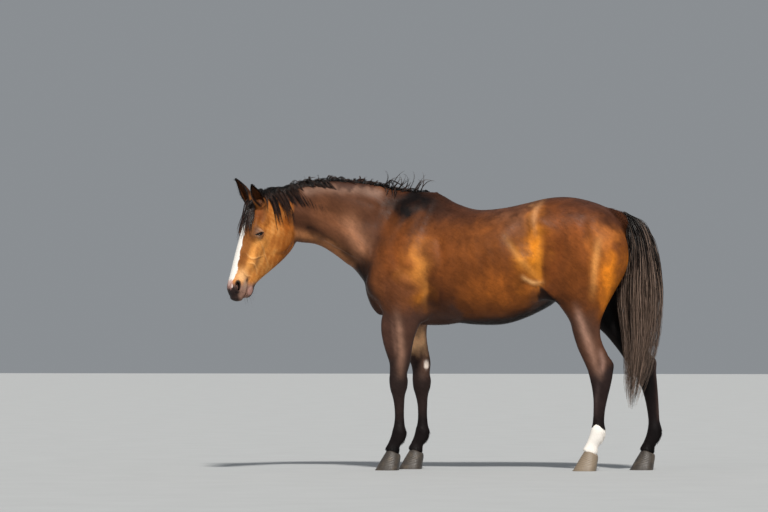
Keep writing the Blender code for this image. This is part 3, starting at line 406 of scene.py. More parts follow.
HIND_RIGHT = [   # front x, z; back x, z; middle y
    (0.60, 1.10, 1.055, 1.12, 0.131), (0.640, 1.00, 1.030, 1.02, 0.134),
    (0.730, 0.920, 1.015, 0.945, 0.143), (0.825, 0.845, 1.030, 0.880, 0.142),
    (0.905, 0.780, 1.055, 0.820, 0.135), (0.970, 0.705, 1.105, 0.750, 0.128),
    (1.025, 0.630, 1.165, 0.675, 0.120), (1.072, 0.565, 1.208, 0.622, 0.116),
    (1.098, 0.520, 1.211, 0.555, 0.114), (1.122, 0.465, 1.217, 0.485, 0.114),
    (1.140, 0.405, 1.222, 0.415, 0.115), (1.153, 0.340, 1.226, 0.345, 0.116),
    (1.160, 0.280, 1.230, 0.280, 0.117), (1.157, 0.240, 1.243, 0.225, 0.118),
    (1.148, 0.200, 1.232, 0.178, 0.118), (1.132, 0.160, 1.204, 0.140, 0.118),
    (1.110, 0.122, 1.198, 0.095, 0.118),
]
TAIL = [   # dock to the thin end: front x, z; back x, z; half width
    (1.000, 1.455, 1.050, 1.462, 0.030),
    (1.010, 1.405, 1.140, 1.425, 0.040),
    (1.020, 1.340, 1.185, 1.360, 0.050),
    (1.030, 1.260, 1.215, 1.270, 0.058),
    (1.015, 1.150, 1.242, 1.155, 0.070),
    (0.995, 1.030, 1.257, 1.030, 0.078),
    (1.000, 0.900, 1.254, 0.900, 0.076),
    (1.018, 0.780, 1.240, 0.780, 0.070),
    (1.026, 0.660, 1.215, 0.660, 0.060),
    (1.030, 0.540, 1.182, 0.540, 0.048),
    (1.038, 0.430, 1.140, 0.430, 0.034),
    (1.055, 0.345, 1.105, 0.345, 0.018),
]


def midline(rows):
    """Full stations of a form on the middle plane."""
    return [r[:4] + (0, r[4], r[5], 2.2, r[6]) for r in rows]


def foreleg(back):
    """Left foreleg, or the right one, which slants back by that much below the elbow."""
    out = []
    for r in FORELEG:
        d = back * float(smooth_step((0.92 - r[1]) / 0.40))
        out.append((r[0] + d, r[1], r[2] + d) + r[3:])
    return Loft(out, 0.04, 0.012, 0.05)


def hoof(toe, y):
    """Stations from just under the ground up to the coronet."""
    long = HOOF_LONG
    return Loft([
        (toe - 0.012, -0.02, toe + long - 0.002, -0.02, y, HOOF_HALF, 2.3, 3.0, 0.5),
        (toe, 0.0, toe + long, 0.0, y, HOOF_HALF, 2.3, 3.0, 0.5),
        (toe + 0.012, 0.018, toe + long + 0.002, 0.012, y, HOOF_HALF - 0.002, 2.3, 3.0, 0.5),
        (toe + 0.036, 0.06, toe + long + 0.005, 0.035, y, HOOF_HALF - 0.011, 2.2, 3.0, 0.5),
        (toe + 0.062, 0.102, toe + long + 0.010, 0.062, y, HOOF_HALF - 0.020, 2.2, 2.6, 0.5),
        (toe + 0.072, 0.118, toe + long + 0.011, 0.080, y, HOOF_HALF - 0.025, 2.2, 2.4, 0.5),
    ], 0.002, 0.01, 0.008, 4)


def body_forms():
    """Trunk and neck with their muscles, then the legs and the root of the tail."""
    forms = [Loft(midline(TRUNK), 0.05, 0.04, 0.05), Loft(midline(NECK), 0.02, 0.04, 0.04)]

    def both(*sizes, **more):
        forms.append(Sided(Ball(*sizes, **more), 0))

    both((-0.95, 0.040, 1.50), (-0.42, 0.115, 1.20), 0.058, 0.042, 0.04)    # neck to arm
    both((-0.90, 0.028, 1.58), (-0.38, 0.070, 1.47), 0.060, 0.035, 0.05)    # splenius
    forms.append(Rod([(-0.90, 0, 1.338, 0.026), (-0.70, 0, 1.305, 0.026),
                      (-0.54, 0, 1.21, 0.030)], 0.04))                      # windpipe
    both((-0.15, 0.140, 1.32), (-0.16, 0.175, 0.95), 0.100, 0.058, 0.06)    # triceps
    both((-0.385, 0.115, 1.13), (-0.37, 0.145, 1.00), 0.050, 0.050, 0.04)   # shoulder point
    both((-0.415, 0.060, 1.10), (-0.345, 0.075, 0.885), 0.050, 0.055, 0.05)  # breast
    forms.append(Ball((-0.36, 0, 0.92), (0.05, 0, 0.86), 0.05, 0.11, 0.05))
    both((0.49, 0.155, 1.43), (0.62, 0.205, 1.37), 0.040, 0.040, 0.07)      # hip
    both((0.60, 0.11, 1.415), (0.94, 0.12, 1.33), 0.095, 0.095, 0.05)       # rump
    both((0.93, 0.085, 1.42), (1.01, 0.115, 1.12), 0.065, 0.085, 0.05)      # hamstring
    both((0.615, 0.17, 1.26), (0.665, 0.195, 1.00), 0.085, 0.062, 0.05)     # thigh front
    both((0.615, 0.190, 1.06), (0.66, 0.205, 0.97), 0.035, 0.040, 0.03)     # stifle
    both((0.47, 0.315, 1.38), (0.53, 0.30, 1.26), 0.06, 0.05, 0.09, cut=True)   # flank
    both((0.50, 0.185, 1.00), (0.65, 0.195, 1.03), 0.035, 0.040, 0.07)      # flank fold
    for side, back in ((-1, 0.0), (1, FAR_FORE_BACK)):
        top, low = back * 0.1, back * 0.85
        forms.append(Sided(foreleg(back), side))
        forms.append(Sided(Ball((-0.322 + top, 0.150, 0.88), (-0.270 + low, 0.135, 0.62),
                                0.040, 0.036, 0.03), side))
        forms.append(Sided(Ball((-0.112 + top, 0.140, 0.94), (-0.095 + top, 0.143, 0.86),
                                0.035, 0.028, 0.05), side))
    for side, rows, hock in ((-1, HIND_LEFT, 0.947), (1, HIND_RIGHT, 1.170)):
        rows = QUARTER + [r + around for r, around in zip(rows, HIND_ROUND)]
        forms.append(Sided(Loft(rows, 0.05, 0.012, 0.05), side))
        lift = 0.02 if side > 0 else 0.0
        forms.append(Sided(Ball((hock, 0.112, 0.625 + lift), (hock + 0.023, 0.112, 0.575 + lift),
                                0.022, 0.022, 0.02), side))
    forms.append(Rod([(0.96, 0, 1.44, 0.045), (1.01, 0, 1.435, 0.038), (1.035, 0, 1.41, 0.034)],
                     0.03))                                                 # root of the dock
    return forms


def head_ball(a, b, deep, wide, blend, cut=False):
    """A ball on each side of the head, ends and half sizes in cm."""
    return Sided(Ball(spot(*a), spot(*b), deep / 100, wide / 100, blend, cut), 0)


def head_forms():
    """Skull and jaw, then muscles, sockets, lips and chin on them."""
    rows = []
    for ta, tn, ba, bn, half, et, eb, share in HEAD:
        rows.append(face(ta, tn) + face(ba, bn) + (0, half / 100, et, eb, share))
    return [
        Loft(rows, 0.03, 0.022, 0.03, 4),
        head_ball((17, -13, 4.6), (34, -9, 5.6), 8.0, 3.2, 0.025),        # cheek muscle
        head_ball((22.5, 4.2, 6.2), (32.5, 4.6, 6.4), 3.6, 2.9, 0.025),   # socket
        head_ball((19.5, 6.8, 6.0), (29.5, 6.9, 6.3), 1.9, 1.9, 0.02),    # brow
        head_ball((31, 0.2, 6.1), (47, 2.2, 4.3), 1.9, 1.5, 0.035),       # crest of the face
        head_ball((17, 2.0, 6.0), (22, 1.5, 7.2), 1.6, 1.0, 0.02),
        Ball(spot(30, 8.8, 0), spot(58, 9.3, 0), 0.018, 0.030, 0.02),
        head_ball((12, 3.5, 4.0), (19, 6.0, 4.6), 3.6, 2.2, 0.02),        # temple
        head_ball((18.5, 4.9, 9.0), (20.5, 5.2, 8.6), 1.3, 1.2, 0.015, True),
        head_ball((57, 7.0, 3.6), (63.5, 6.0, 4.0), 2.7, 1.9, 0.015),     # nostril wing
        head_ball((8, 4.5, 4.6), (14, 7.5, 5.4), 3.2, 2.6, 0.02),         # root of the ear
        Ball(spot(57, -3.7, 0), spot(64.0, -1.7, 0), 0.022, 0.030, 0.012),
        Ball(spot(63.5, 3.8, 0), spot(66.8, 3.2, 0), 0.026, 0.040, 0.012),
        Ball(spot(33, -19.5, 0), spot(53, -8.9, 0), 0.028, 0.018, 0.012, cut=True),
    ]


def ear_form(side, forward, out, up, opens):
    """Her left (-1) or right (1) ear, pointing and opening the ways given for her right."""
    base = spot(11.0 - 0.6 * side, 6.4, 5.0 * side)
    way = np.array([-forward, out * side, up])
    opening = np.array([-opens[0], opens[1] * side, 0.0])
    return Ear(base, way, opening, 0.160 + 0.004 * side, 0.029, 0.005)


# ---- mesh -------------------------------------------------------------------------------

CORNERS = np.array([(i, j, k) for i in (0, 1) for j in (0, 1) for k in (0, 1)])


def lattice(count):
    """Whole-number places of a cube with count to the side."""
    return np.stack(np.meshgrid(*[np.arange(count)] * 3, indexing="ij"), -1).reshape(-1, 3)


def nets(field, low, high, cell, coarse=4):
    """Quads where the field crosses zero, worked out in a band round the surface."""
    low = np.asarray(low, float)
    big = cell * coarse
    n = np.ceil((np.asarray(high, float) - low) / big).astype(int) + 1
    blocks = np.stack(np.meshgrid(*[np.arange(m) for m in n], indexing="ij"), -1).reshape(-1, 3)
    blocks = blocks[np.abs(field(low + (blocks + 0.5) * big, big)) < big * 1.6]
    size = n * coarse + 2
    nodes = (blocks[:, None, :] * coarse + lattice(coarse + 1)[None]).reshape(-1, 3)
    key = (nodes[:, 0] * size[1] + nodes[:, 1]) * size[2] + nodes[:, 2]
    key, first = np.unique(key, return_index=True)
    grid = np.full(int(size[0] * size[1] * size[2]), np.nan)
    grid[key] = field(low + nodes[first] * cell)
    grid = grid.reshape(size)
    cells = (blocks[:, None, :] * coarse + lattice(coarse)[None]).reshape(-1, 3)
    corner = np.stack([grid[tuple((cells + c).T)] for c in CORNERS], 1)
    inside = corner < 0
    active = inside.any(1) & ~inside.all(1)
    cells, corner, inside = cells[active], corner[active], inside[active]
    total, count = np.zeros((len(cells), 3)), np.zeros(len(cells))
    for a in range(8):
        for axis in range(3):
            if CORNERS[a][axis] == 0:
                b = a + (4, 2, 1)[axis]
                cross = inside[:, a] != inside[:, b]
                at = np.repeat(CORNERS[a][None].astype(float), cross.sum(), 0)
                at[:, axis] += corner[cross, a] / (corner[cross, a] - corner[cross, b])
                total[cross] += at
                count[cross] += 1
    points = low + (cells + total / count[:, None]) * cell
    index = np.full(grid.shape, -1)
    index[tuple(cells.T)] = np.arange(len(cells))
    quads = []
    steps = np.eye(3, dtype=int)
    for axis in range(3):
        b, c = steps[(axis + 1) % 3], steps[(axis + 2) % 3]
        cross = inside[:, 0] != inside[:, (4, 2, 1)[axis]]
        here = cells[cross]
        ring = [here, here - b, here - b - c, here - c]
        quad = np.stack([index[tuple(r.T)] for r in ring], 1)
        out = ~inside[cross, 0]
        quad[out] = quad[out][:, ::-1]
        quads.append(quad[(quad >= 0).all(1)])
    return points, np.vstack(quads)


def gradient(field, points, step):
    """Slope of the field at the points, by central differences."""
    slope = np.zeros((len(points), 3))
    for i in range(3):
        o = np.zeros(3)
        o[i] = step
        slope[:, i] = (field(points + o) - field(points - o)) / (2 * step)
    return slope


def settle(field, points, rounds=2):
    """Walk the points on to the surface."""
    for _ in range(rounds):
        slope = gradient(field, points, 0.001)
        s = np.maximum((slope * slope).sum(1), 1e-3)
        move = (field(points) / s)[:, None] * slope
        long = np.linalg.norm(move, axis=1, keepdims=True)
        points = points - move * np.minimum(1, 0.01 / np.maximum(long, 1e-9))
    return points


ARC = np.linspace(0, 2.0, 801)              # along the middle of the neck
TURNED = NECK_TURN * smooth_step(ARC / TURN_SPAN)


def running(values):
    """Sum so far of the values along the arc."""
    return np.concatenate([[0], np.cumsum((values[1:] + values[:-1]) / 2 * np.diff(ARC))])


LINE_X = TURN_FROM - running(np.cos(TURNED))
LINE_Y = -running(np.sin(TURNED))


def bend(points):
    """Swing the straight neck and head to the left; the chest stays where it is."""
    p = np.array(points, float)
    along = np.maximum(TURN_FROM - p[:, 0], 0)
    turned = np.interp(along, ARC, TURNED)
    q = p.copy()
    q[:, 0] = np.interp(along, ARC, LINE_X) - p[:, 1] * np.sin(turned)
    q[:, 1] = np.interp(along, ARC, LINE_Y) + p[:, 1] * np.cos(turned)
    away = (SHOULDER_X - p[:, 0]) * SHOULDER_WAY[0] - (SHOULDER_Z - p[:, 2]) * SHOULDER_WAY[1]
    share = smooth_step(away / SHOULDER_SOFT) * (p[:, 0] < TURN_FROM)
    return p + share[:, None] * (q - p)


# ---- skin --------------------------------------------------------------------------------

COAT_DEPTH, FACE_DEPTH = 0.003, 0.0016      # the skin lies this far inside the solids
CELL, ZOOM = (0.0127), 0.30    # mesh step on the body; share on the head
ZOOM_FROM, ZOOM_RUN, ZOOM_MIDDLE = -0.62, 0.378, 1.40   # x, length and height of the change
GRID_LOW, GRID_HIGH = (-3.12, -0.64, -0.40), (1.34, 0.64, 2.95)
LID_ABOVE, LID_BELOW, LID_HALF = 0.0072, 0.0066, 0.0258
EYE_LONG = 1.2                              # length of the eye against its height
EYE_LEAN = math.radians(14)                 # the slit rises towards the ear
EYE_AT = (28.3, 4.3, 7.9)                   # down the face, in front, to the side, cm
EARS = ((-1, (0.60, 0.42, 0.69, (0.0, 1.0))), (1, (0.47, 0.31, 0.83, (1.0, -0.1))))


def unzoom(g):
    """Grid space to straight space, with finer steps towards the head; also the scale."""
    t = np.maximum(ZOOM_FROM - g[:, 0], 0)
    k = np.minimum(t / ZOOM_RUN, 1)
    s = 1 - (1 - ZOOM) * smooth_step(k)
    run = t - (1 - ZOOM) * (ZOOM_RUN * (k ** 3 - k ** 4 / 2) + np.maximum(t - ZOOM_RUN, 0))
    x = np.where(t > 0, ZOOM_FROM - run, g[:, 0])
    return np.column_stack([x, s * g[:, 1], ZOOM_MIDDLE + s * (g[:, 2] - ZOOM_MIDDLE)]), s


def eye_axes(side):
    """Middle of the eye and its axes along the slit, across it and outwards, before the bend."""
    return spot(EYE_AT[0], EYE_AT[1], EYE_AT[2] * side), np.array([
        (-math.cos(EYE_LEAN), 0.0, -math.sin(EYE_LEAN)),
        (-math.sin(EYE_LEAN), 0.0, math.cos(EYE_LEAN)), (0.0, float(side), 0.0)])


class Lids:
    """Almond gap between the lids, cut outwards from the middle of the eye."""

    def __init__(self, centre, axes, half, above, below):
        self.centre, self.half, self.above, self.below = centre, half, above, below
        self.t, self.v = axes[0], axes[1]
        self.blend, self.cut = 0.0035, True
        self.low, self.high = centre - 0.03, centre + 0.03

    def distance(self, q):
        r = q - self.centre
        t, v, out = r @ self.t / self.half, r @ self.v, r[:, 1]
        bow = 1 - t * t
        gap = np.maximum(v - self.above * bow, -self.below * bow - v)
        return np.maximum(gap, 0.004 - out)


def skin_forms():
    """All of the flesh, then the gap between the lids, the nostrils and the mouth cut in it."""
    forms = body_forms() + head_forms() + EAR_FORMS
    eye, axes = eye_axes(1)
    gap = Lids(eye, axes, LID_HALF, LID_ABOVE, LID_BELOW)
    forms.append(Sided(Ball(eye - gap.t * 0.0290, eye + gap.t * 0.0290, 0.0244, 0.0244, 0.010), 0))
    forms.append(Sided(gap, 0))
    forms.append(head_ball((58.6, 7.9, 4.9), (62.4, 6.5, 3.6), 0.75, 1.5, 0.006, True))
    forms.append(head_ball((58.0, 8.4, 4.4), (60.0, 8.2, 4.6), 0.45, 0.8, 0.005, True))
    lips = [spot(67.6, 1.9, 0.0), spot(67.0, 1.9, 1.6), spot(65.2, 1.6, 3.2),
            spot(62.0, 1.2, 4.1), spot(58.0, 1.1, 4.6), spot(54.6, 1.3, 4.7)]
    mouth = Rod([tuple(p) + (0.0026,) for p in lips], 0.004)
    mouth.cut = True
    forms.append(Sided(mouth, 0))
    return forms


def coat_depth(q):
    """Thickness of the coat, less on the head."""
    near_head = smooth_step((-0.92 - q[:, 0]) / 0.12)
    return COAT_DEPTH + (FACE_DEPTH - COAT_DEPTH) * near_head


EAR_FORMS = [ear_form(side, *pose) for side, pose in EARS]
SKIN_FORMS = skin_forms()


def skin_field(q, margin=0.0):
    return evaluate(SKIN_FORMS, q, margin) + coat_depth(q)


def band(p, points, width, tapers=False):
    """Bell-shaped share of a band along a line in x and z, that may thin out to its ends."""
    q, best, along = p[:, [0, 2]], np.full(len(p), FAR_OFF), np.zeros(len(p))
    pts = spline(points, 4)
    for k, (a, b) in enumerate(zip(pts, pts[1:])):
        run = b - a
        t = np.clip(((q - a) @ run) / (run @ run), 0, 1)
        away = np.linalg.norm(q - a - t[:, None] * run, axis=1)
        along = np.where(away < best, (k + t) / (len(pts) - 1), along)
        best = np.minimum(best, away)
    share = np.exp(-(best / width) ** 2)
    return share * np.sin(math.pi * along) if tapers else share


FURROWS = (   # width, depth in metres (below 0 stands out), line in x and z, both flanks
    (0.022, 0.0060, ((-1.00, 1.40), (-0.82, 1.37), (-0.66, 1.30), (-0.50, 1.18), (-0.43, 1.08))),
    (0.026, -0.0040, ((-0.96, 1.47), (-0.78, 1.43), (-0.58, 1.33), (-0.42, 1.20))),
    (0.030, 0.0050, ((-0.36, 1.50), (-0.40, 1.38), (-0.44, 1.24), (-0.42, 1.12))),
    (0.028, 0.0060, ((-0.20, 1.42), (-0.26, 1.30), (-0.24, 1.18), (-0.16, 1.10))),
    (0.024, 0.0080, ((0.005, 1.30), (0.02, 1.18), (0.00, 1.05), (-0.03, 0.93))),
    (0.030, -0.0050, ((-0.06, 1.28), (-0.05, 1.14), (-0.10, 1.00))),
    (0.022, 0.0050, ((-0.30, 1.12), (-0.22, 1.05), (-0.13, 1.02))),
    (0.015, 0.0080, ((0.600, 1.05), (0.598, 1.18), (0.606, 1.34))),
    (0.018, -0.0040, ((0.566, 1.08), (0.568, 1.20), (0.572, 1.36))),
    (0.012, -0.0035, ((0.42, 1.27), (0.50, 1.16), (0.575, 1.07))),
    (0.010, -0.0040, ((0.50, 1.080), (0.545, 1.056), (0.590, 1.062))),
    (0.011, 0.0060, ((0.49, 1.060), (0.545, 1.036), (0.595, 1.046))),
    (0.020, 0.0050, ((0.86, 1.40), (0.89, 1.26), (0.87, 1.12), (0.84, 0.98))),
    (0.030, -0.0035, ((0.80, 1.38), (0.82, 1.24), (0.79, 1.10))),
    (0.014, 0.0035, ((-0.235, 0.90), (-0.225, 0.78), (-0.215, 0.66))),
    (0.012, 0.0030, ((-0.262, 0.82), (-0.255, 0.70), (-0.250, 0.60))),
    (0.010, 0.0030, ((-0.232, 0.42), (-0.232, 0.33), (-0.232, 0.27))),
    (0.018, 0.0040, ((0.80, 0.92), (0.83, 0.82), (0.88, 0.70))),
)
FACE_VEINS = (    # down the face and in front of the poll, in cm
    ((31, 3.0), (35, -1.0), (39, -4.5), (44, -9.5)), ((40, 7.5), (42.5, 4.0), (41, 0.5), (38, -4)),
    ((46, 6.0), (45, 2.0), (47.5, -1.5), (51, -3.5)), ((50, 7.0), (52.5, 4.0), (52, 0.5)),
)
VEIN_HALF, RIB_PITCH = 0.0045, 0.075


def inside(p, corners):
    """Least distance to the sides of a convex outline in x and z, above 0 within it."""
    q, least = p[:, [0, 2]], np.full(len(p), FAR_OFF)
    for a, b in zip(corners, corners[1:] + corners[:1]):
        run = np.subtract(b, a) / math.dist(a, b)
        least = np.minimum(least, (q - a) @ (-run[1], run[0]))
    return least


def shaped(p, normals):
    """Furrows between the muscles, ribs, folds of the lid and veins, along the normal."""
    push = np.zeros(len(p))
    flank = smooth_step((np.abs(normals[:, 1]) - 0.25) / 0.5)
    for width, depth, line in FURROWS:
        push -= depth * flank * band(p, line, width)
    rib = np.sin((p[:, 0] + 0.25 * (p[:, 2] - 1.1)) * 2 * math.pi / RIB_PITCH)
    push += 0.0012 * rib * flank * band(p, ((0.16, 1.12), (0.42, 1.16)), 0.14)
    a, n, _ = head_place(p)
    in_head = smooth_step((-0.95 - p[:, 0]) / 0.1)
    for level in (6.6, 7.5, 8.4):      # folds over the upper lid
        away = np.abs(np.hypot((n - 5.2) * 0.8, (a - 26.6) + 1.5) - (level - 4.0))
        upper = smooth_step((26.0 - a) / 2.0)
        push -= 0.0011 * in_head * upper * np.exp(-(away / 0.30) ** 2)
    for vein in FACE_VEINS:
        push += 0.0022 * in_head * flank * band(p, [face(*k) for k in vein], VEIN_HALF, True)
    return p + normals * np.minimum(push, 0.004)[:, None]


def vertex_normals(points, quads):
    a, b = points[quads[:, 2]] - points[quads[:, 0]], points[quads[:, 3]] - points[quads[:, 1]]
    face_normal = np.cross(a, b)
    total = np.zeros_like(points)
    for i in range(4):
        np.add.at(total, quads[:, i], face_normal)
    return unit(total, 1e-12)


def largest(points, quads):
    """Only the piece of mesh with the most points."""
    label = np.arange(len(points))
    while True:
        low = label[quads].min(1)
        new = label.copy()
        for i in range(4):
            np.minimum.at(new, quads[:, i], low)
        new = new[new]
        if (new == label).all():
            break
        label = new
    keep = label == np.bincount(label).argmax()
    index = np.cumsum(keep) - 1
    return points[keep], index[quads[keep[quads[:, 0]]]]


def skin_points():
    """Points and quads of the skin in the straight pose."""
    def field(g, margin=0.0):
        p, s = unzoom(g)
        d = skin_field(p, margin)
        return d if margin == 0.0 else d / (1.25 * s)

    grid, quads = nets(field, GRID_LOW, GRID_HIGH, CELL)
    points = settle(skin_field, unzoom(grid)[0])
    return largest(points, quads)


# ---- marks of the coat, painted light and shade among them ---------------------------------

def linear(code):
    """sRGB hex to linear light."""
    v = np.array([int(code[i:i + 2], 16) for i in (1, 3, 5)]) / 255
    return np.where(v <= 0.04045, v / 12.92, ((v + 0.055) / 1.055) ** 2.4)


OUTSIDE = -0.05     # metres, where a mark is nowhere near
COAT_AND_LIGHT_PATCHES = (   # colour, x, z, reach along, reach up, strength; coat colour, with painted highlights and shade where marked
    ("#82461D", -0.16, 1.20, 0.17, 0.140, 0.85),     # shoulder
    # painted highlight on the triceps
    ("#B07030", -0.125, 1.16, 0.070, 0.12, 0.80),
    ("#A8641F", -0.085, 0.985, 0.050, 0.080, 0.85),  # painted highlight on the ridge of the elbow
    ("#7C4620", -0.36, 1.07, 0.07, 0.11, 0.75),      # breast
    ("#0E0909", -0.18, 1.50, 0.18, 0.110, 0.97),     # shoulder blade
    ("#0E0909", -0.17, 1.54, 0.14, 0.080, 0.92),     # withers
    # painted shade in the groove at the front of the shoulder
    ("#3A2118", -0.40, 1.30, 0.035, 0.20, 0.60),
    ("#5C3A2A", -0.25, 0.98, 0.08, 0.13, 0.65),
    ("#2B1711", 0.045, 0.985, 0.085, 0.11, 0.85),   # painted shade behind the elbow
    ("#7D4519", 0.26, 1.30, 0.16, 0.13, 0.45),      # ribs
    ("#98541E", 0.34, 1.01, 0.21, 0.11, 0.75),
    ("#7A5038", 0.42, 1.43, 0.12, 0.07, 0.55),      # loin
    # painted highlight on the front edge of the hip bone
    ("#94704F", 0.54, 1.45, 0.022, 0.08, 0.55),
    ("#D4801F", 0.545, 1.23, 0.062, 0.17, 0.92),    # painted highlight on the flank
    ("#8A4A1F", 0.74, 1.36, 0.15, 0.11, 0.60),      # croup
    ("#6B3613", 0.665, 1.17, 0.055, 0.22, 0.55),    # thigh, with painted shade on its front behind the fold of the flank
    ("#7A4118", 0.78, 1.16, 0.07, 0.16, 0.50),
    # painted highlight down the back of the thigh
    ("#B9681F", 0.915, 1.10, 0.060, 0.19, 0.90),
    ("#A86532", 0.94, 1.30, 0.055, 0.08, 0.70),     # buttock
    # painted highlight along the rear edge of the buttock
    ("#D67C1E", 0.990, 1.09, 0.062, 0.16, 0.88),
    ("#57301D", 1.018, 1.270, 0.030, 0.035, 0.70),
    ("#4A2C20", 0.87, 1.50, 0.16, 0.075, 0.70),
    ("#3F2213", 0.73, 1.00, 0.10, 0.06, 0.50),
)
LIT_AND_SHADED_EDGES = (     # colour, strength, x of its sharp edge, reach from there (below 0 ahead), z range; painted highlight ahead of each edge, painted shade behind it
    ("#DB8A2C", 0.50, 0.592, -0.045, 1.06, 1.34),    # painted highlight on the flank, up to the fold of the thigh
    # painted shade on the thigh behind the fold
    ("#4C2611", 0.62, 0.596, 0.045, 1.03, 1.30),
    ("#C98A48", 0.35, -0.064, -0.030, 0.94, 1.14),   # painted highlight before the rear edge of the upper arm
    # painted shade behind the rear edge of the upper arm
    ("#261309", 0.60, -0.058, 0.045, 0.90, 1.10),
)
GROIN_SHADE = [(0.555, 0.900), (0.690, 0.945), (0.588, 1.047), (0.572, 1.032)]   # painted shade deep in the groin, between thigh and belly
FOLD_HIGHLIGHTS = (   # painted highlights on the folds of flank, hip and buttock: colour, strength, half width, line in x and z; hardly wandering and thin at both ends
    ("#E8B478", 0.60, 0.0110, ((0.47, 1.110), (0.50, 1.082), (0.545, 1.060), (0.612, 1.070))),
    ("#D8994F", 0.34, 0.0200, ((0.36, 1.36), (0.43, 1.26), (0.50, 1.16), (0.59, 1.06))),
    ("#C99060", 0.55, 0.0160, ((0.60, 1.56), (0.555, 1.48), (0.545, 1.40), (0.565, 1.30))),
    ("#E8A45C", 0.55, 0.0200, ((0.925, 1.34), (0.900, 1.24), (0.885, 1.12), (0.870, 0.94))),
)
LEG_SHEEN = (     # the same down the middle of the legs, fore and then hind
    ("#8E6A58", 0.95, 0.022, ((-0.252, 0.96), (-0.230, 0.80), (-0.222, 0.66), (-0.232, 0.50))),
    ("#7A5A4C", 0.70, 0.010, ((-0.275, 0.88), (-0.262, 0.76), (-0.252, 0.64))),
    ("#A07A68", 0.95, 0.024, ((0.765, 0.97), (0.815, 0.82), (0.850, 0.72), (0.918, 0.50))),
    ("#8A6A5E", 0.80, 0.014, ((0.905, 0.70), (0.925, 0.62), (0.920, 0.54))),
    ("#453836", 0.80, 0.012, ((0.910, 0.54), (0.885, 0.40), (0.880, 0.28))),
    ("#8A6E66", 0.85, 0.018, ((1.205, 0.64), (1.235, 0.50), (1.240, 0.40), (1.235, 0.26))),
)
HEAD_OVALS = (    # colour, strength, middle and reach down, middle and reach out in cm, lean
    ("#8A4A26", 0.60, 17.0, 4.0, 6.0, 3.0, 0.0),              # temple
    ("#4A3023", 0.70, 27.0, 2.2, 6.4, 2.2, 0.0),              # round the eye
    ("#7A5F50", 0.75, 28.3, 3.2 / 1.3, 4.3, 3.2, 0.0),
    ("#B39A88", 0.42, 26.1, 0.50, 4.2, 2.2, 0.25),            # lids: pale skin, with a painted highlight along the fold of the upper one
    ("#A88C78", 0.55, 30.2, 0.45, 4.6, 1.9, 0.25),
    ("#3A2A22", 0.50, 24.9, 0.40, 4.4, 2.2, 0.25),
    ("#8E5A2E", 0.50, 46.0, 5.0, -1.0, 5.0, 0.0),             # hollow of the cheek
    ("#F0BC84", 0.80, 54.0, 3.8, 6.5, 3.2, 0.0),              # painted highlight over the nostril
)
NECK_SHEEN_AND_SHADE = (    # painted sheen and painted shade on both sides of neck and breast: colour, strength, half width, line in x and z
    # painted sheen on the middle of the neck
    ("#7C4F34", 0.50, 0.080, ((-0.74, 1.46), (-0.64, 1.40))),
    # painted sheen over the jugular
    ("#A47254", 0.72, 0.060, ((-0.57, 1.40), (-0.50, 1.27))),
    # painted highlight along the windpipe
    ("#A87048", 0.80, 0.026, ((-0.90, 1.345), (-0.78, 1.318), (-0.66, 1.268), (-0.54, 1.175))),
    # painted shade in the jugular groove
    ("#1C110E", 0.62, 0.013, ((-0.84, 1.382), (-0.80, 1.366), (-0.66, 1.290), (-0.53, 1.190),
                              (-0.45, 1.08))),
    # painted sheen along the crest, under the mane
    ("#8E7061", 0.55, 0.030, ((-0.84, 1.590), (-0.66, 1.606), (-0.50, 1.598), (-0.38, 1.585))),
    # painted shade down the front of the breast
    ("#20130F", 0.60, 0.030, ((-0.435, 1.16), (-0.405, 1.02), (-0.375, 0.92))),
)


def wander(p, wave, seed):
    """Smooth uneven value between about -1 and 1, with bumps about one wave long."""
    rng = np.random.default_rng(seed)
    total = np.zeros(len(p))
    for octave in range(3):
        for _ in range(4):
            way = rng.normal(size=3)
            way *= 2 * math.pi * 1.9 ** octave / wave / np.linalg.norm(way)
            total += np.sin(p @ way + rng.uniform(0, 6.3)) * 0.62 ** octave
    return total / 2.6


def lay_folds(lay, p, straight, cloudy):
    """Neck colour; painted sheen and shade on neck and breast, painted shade between the forelegs,
    light and shade painted either side of the sharp edges, painted highlights on the folds of the
    flank, painted shade under the belly and in the groin.
    """
    x, y, z = p.T
    sx, _, sz = straight.T
    neck = past(-0.36 - x, 0.22)
    lay("#503223", 0.92 * neck)
    # painted sheen and painted shade along neck and breast
    for code, strength, width, line in NECK_SHEEN_AND_SHADE:
        lay(code, strength * (1 + 0.15 * cloudy) * band(0.85 * straight + 0.15 * p, line, width))
    lay("#2A1916", 0.7 * neck * past(z - 1.615, 0.03))
    # painted shade on the breast between the forelegs
    lay("#150D0B", 0.92 * past(-0.345 - sx, 0.05) * past(0.105 - np.abs(y), 0.05)
        * past(1.15 - z, 0.12) * past(z - 0.80, 0.1))
    soft = 0.030 + 0.10 * past(z - 1.25, 0.3)
    # painted highlight ahead of each sharp edge, painted shade behind it
    for code, strength, edge, reach, low, high in LIT_AND_SHADED_EDGES:
        lay(code, strength * past((0.7 * sx + 0.3 * x - edge) * np.sign(reach), soft)
            * np.exp(-((sx - edge) / reach) ** 2) * past(z - low, 0.05) * past(high - z, 0.3))
    # painted highlights along the folds
    for code, strength, width, line in FOLD_HIGHLIGHTS:
        lay(code, strength * band(0.9 * straight + 0.1 * p, line, width, True))
    # painted shade under the belly
    belly = np.interp(sx, [-0.3, 0.2, 0.4, 0.65], [0.90, 0.872, 0.888, 0.990])
    lay("#0A0706", 0.95 * past(belly - sz, 0.075) * past(x + 0.35, 0.1) * past(0.66 - x, 0.1)
        * past(0.20 - np.abs(y), 0.12))
    # painted shade in the groin
    lay("#070404", 0.95 * past(inside(straight, GROIN_SHADE), 0.008))


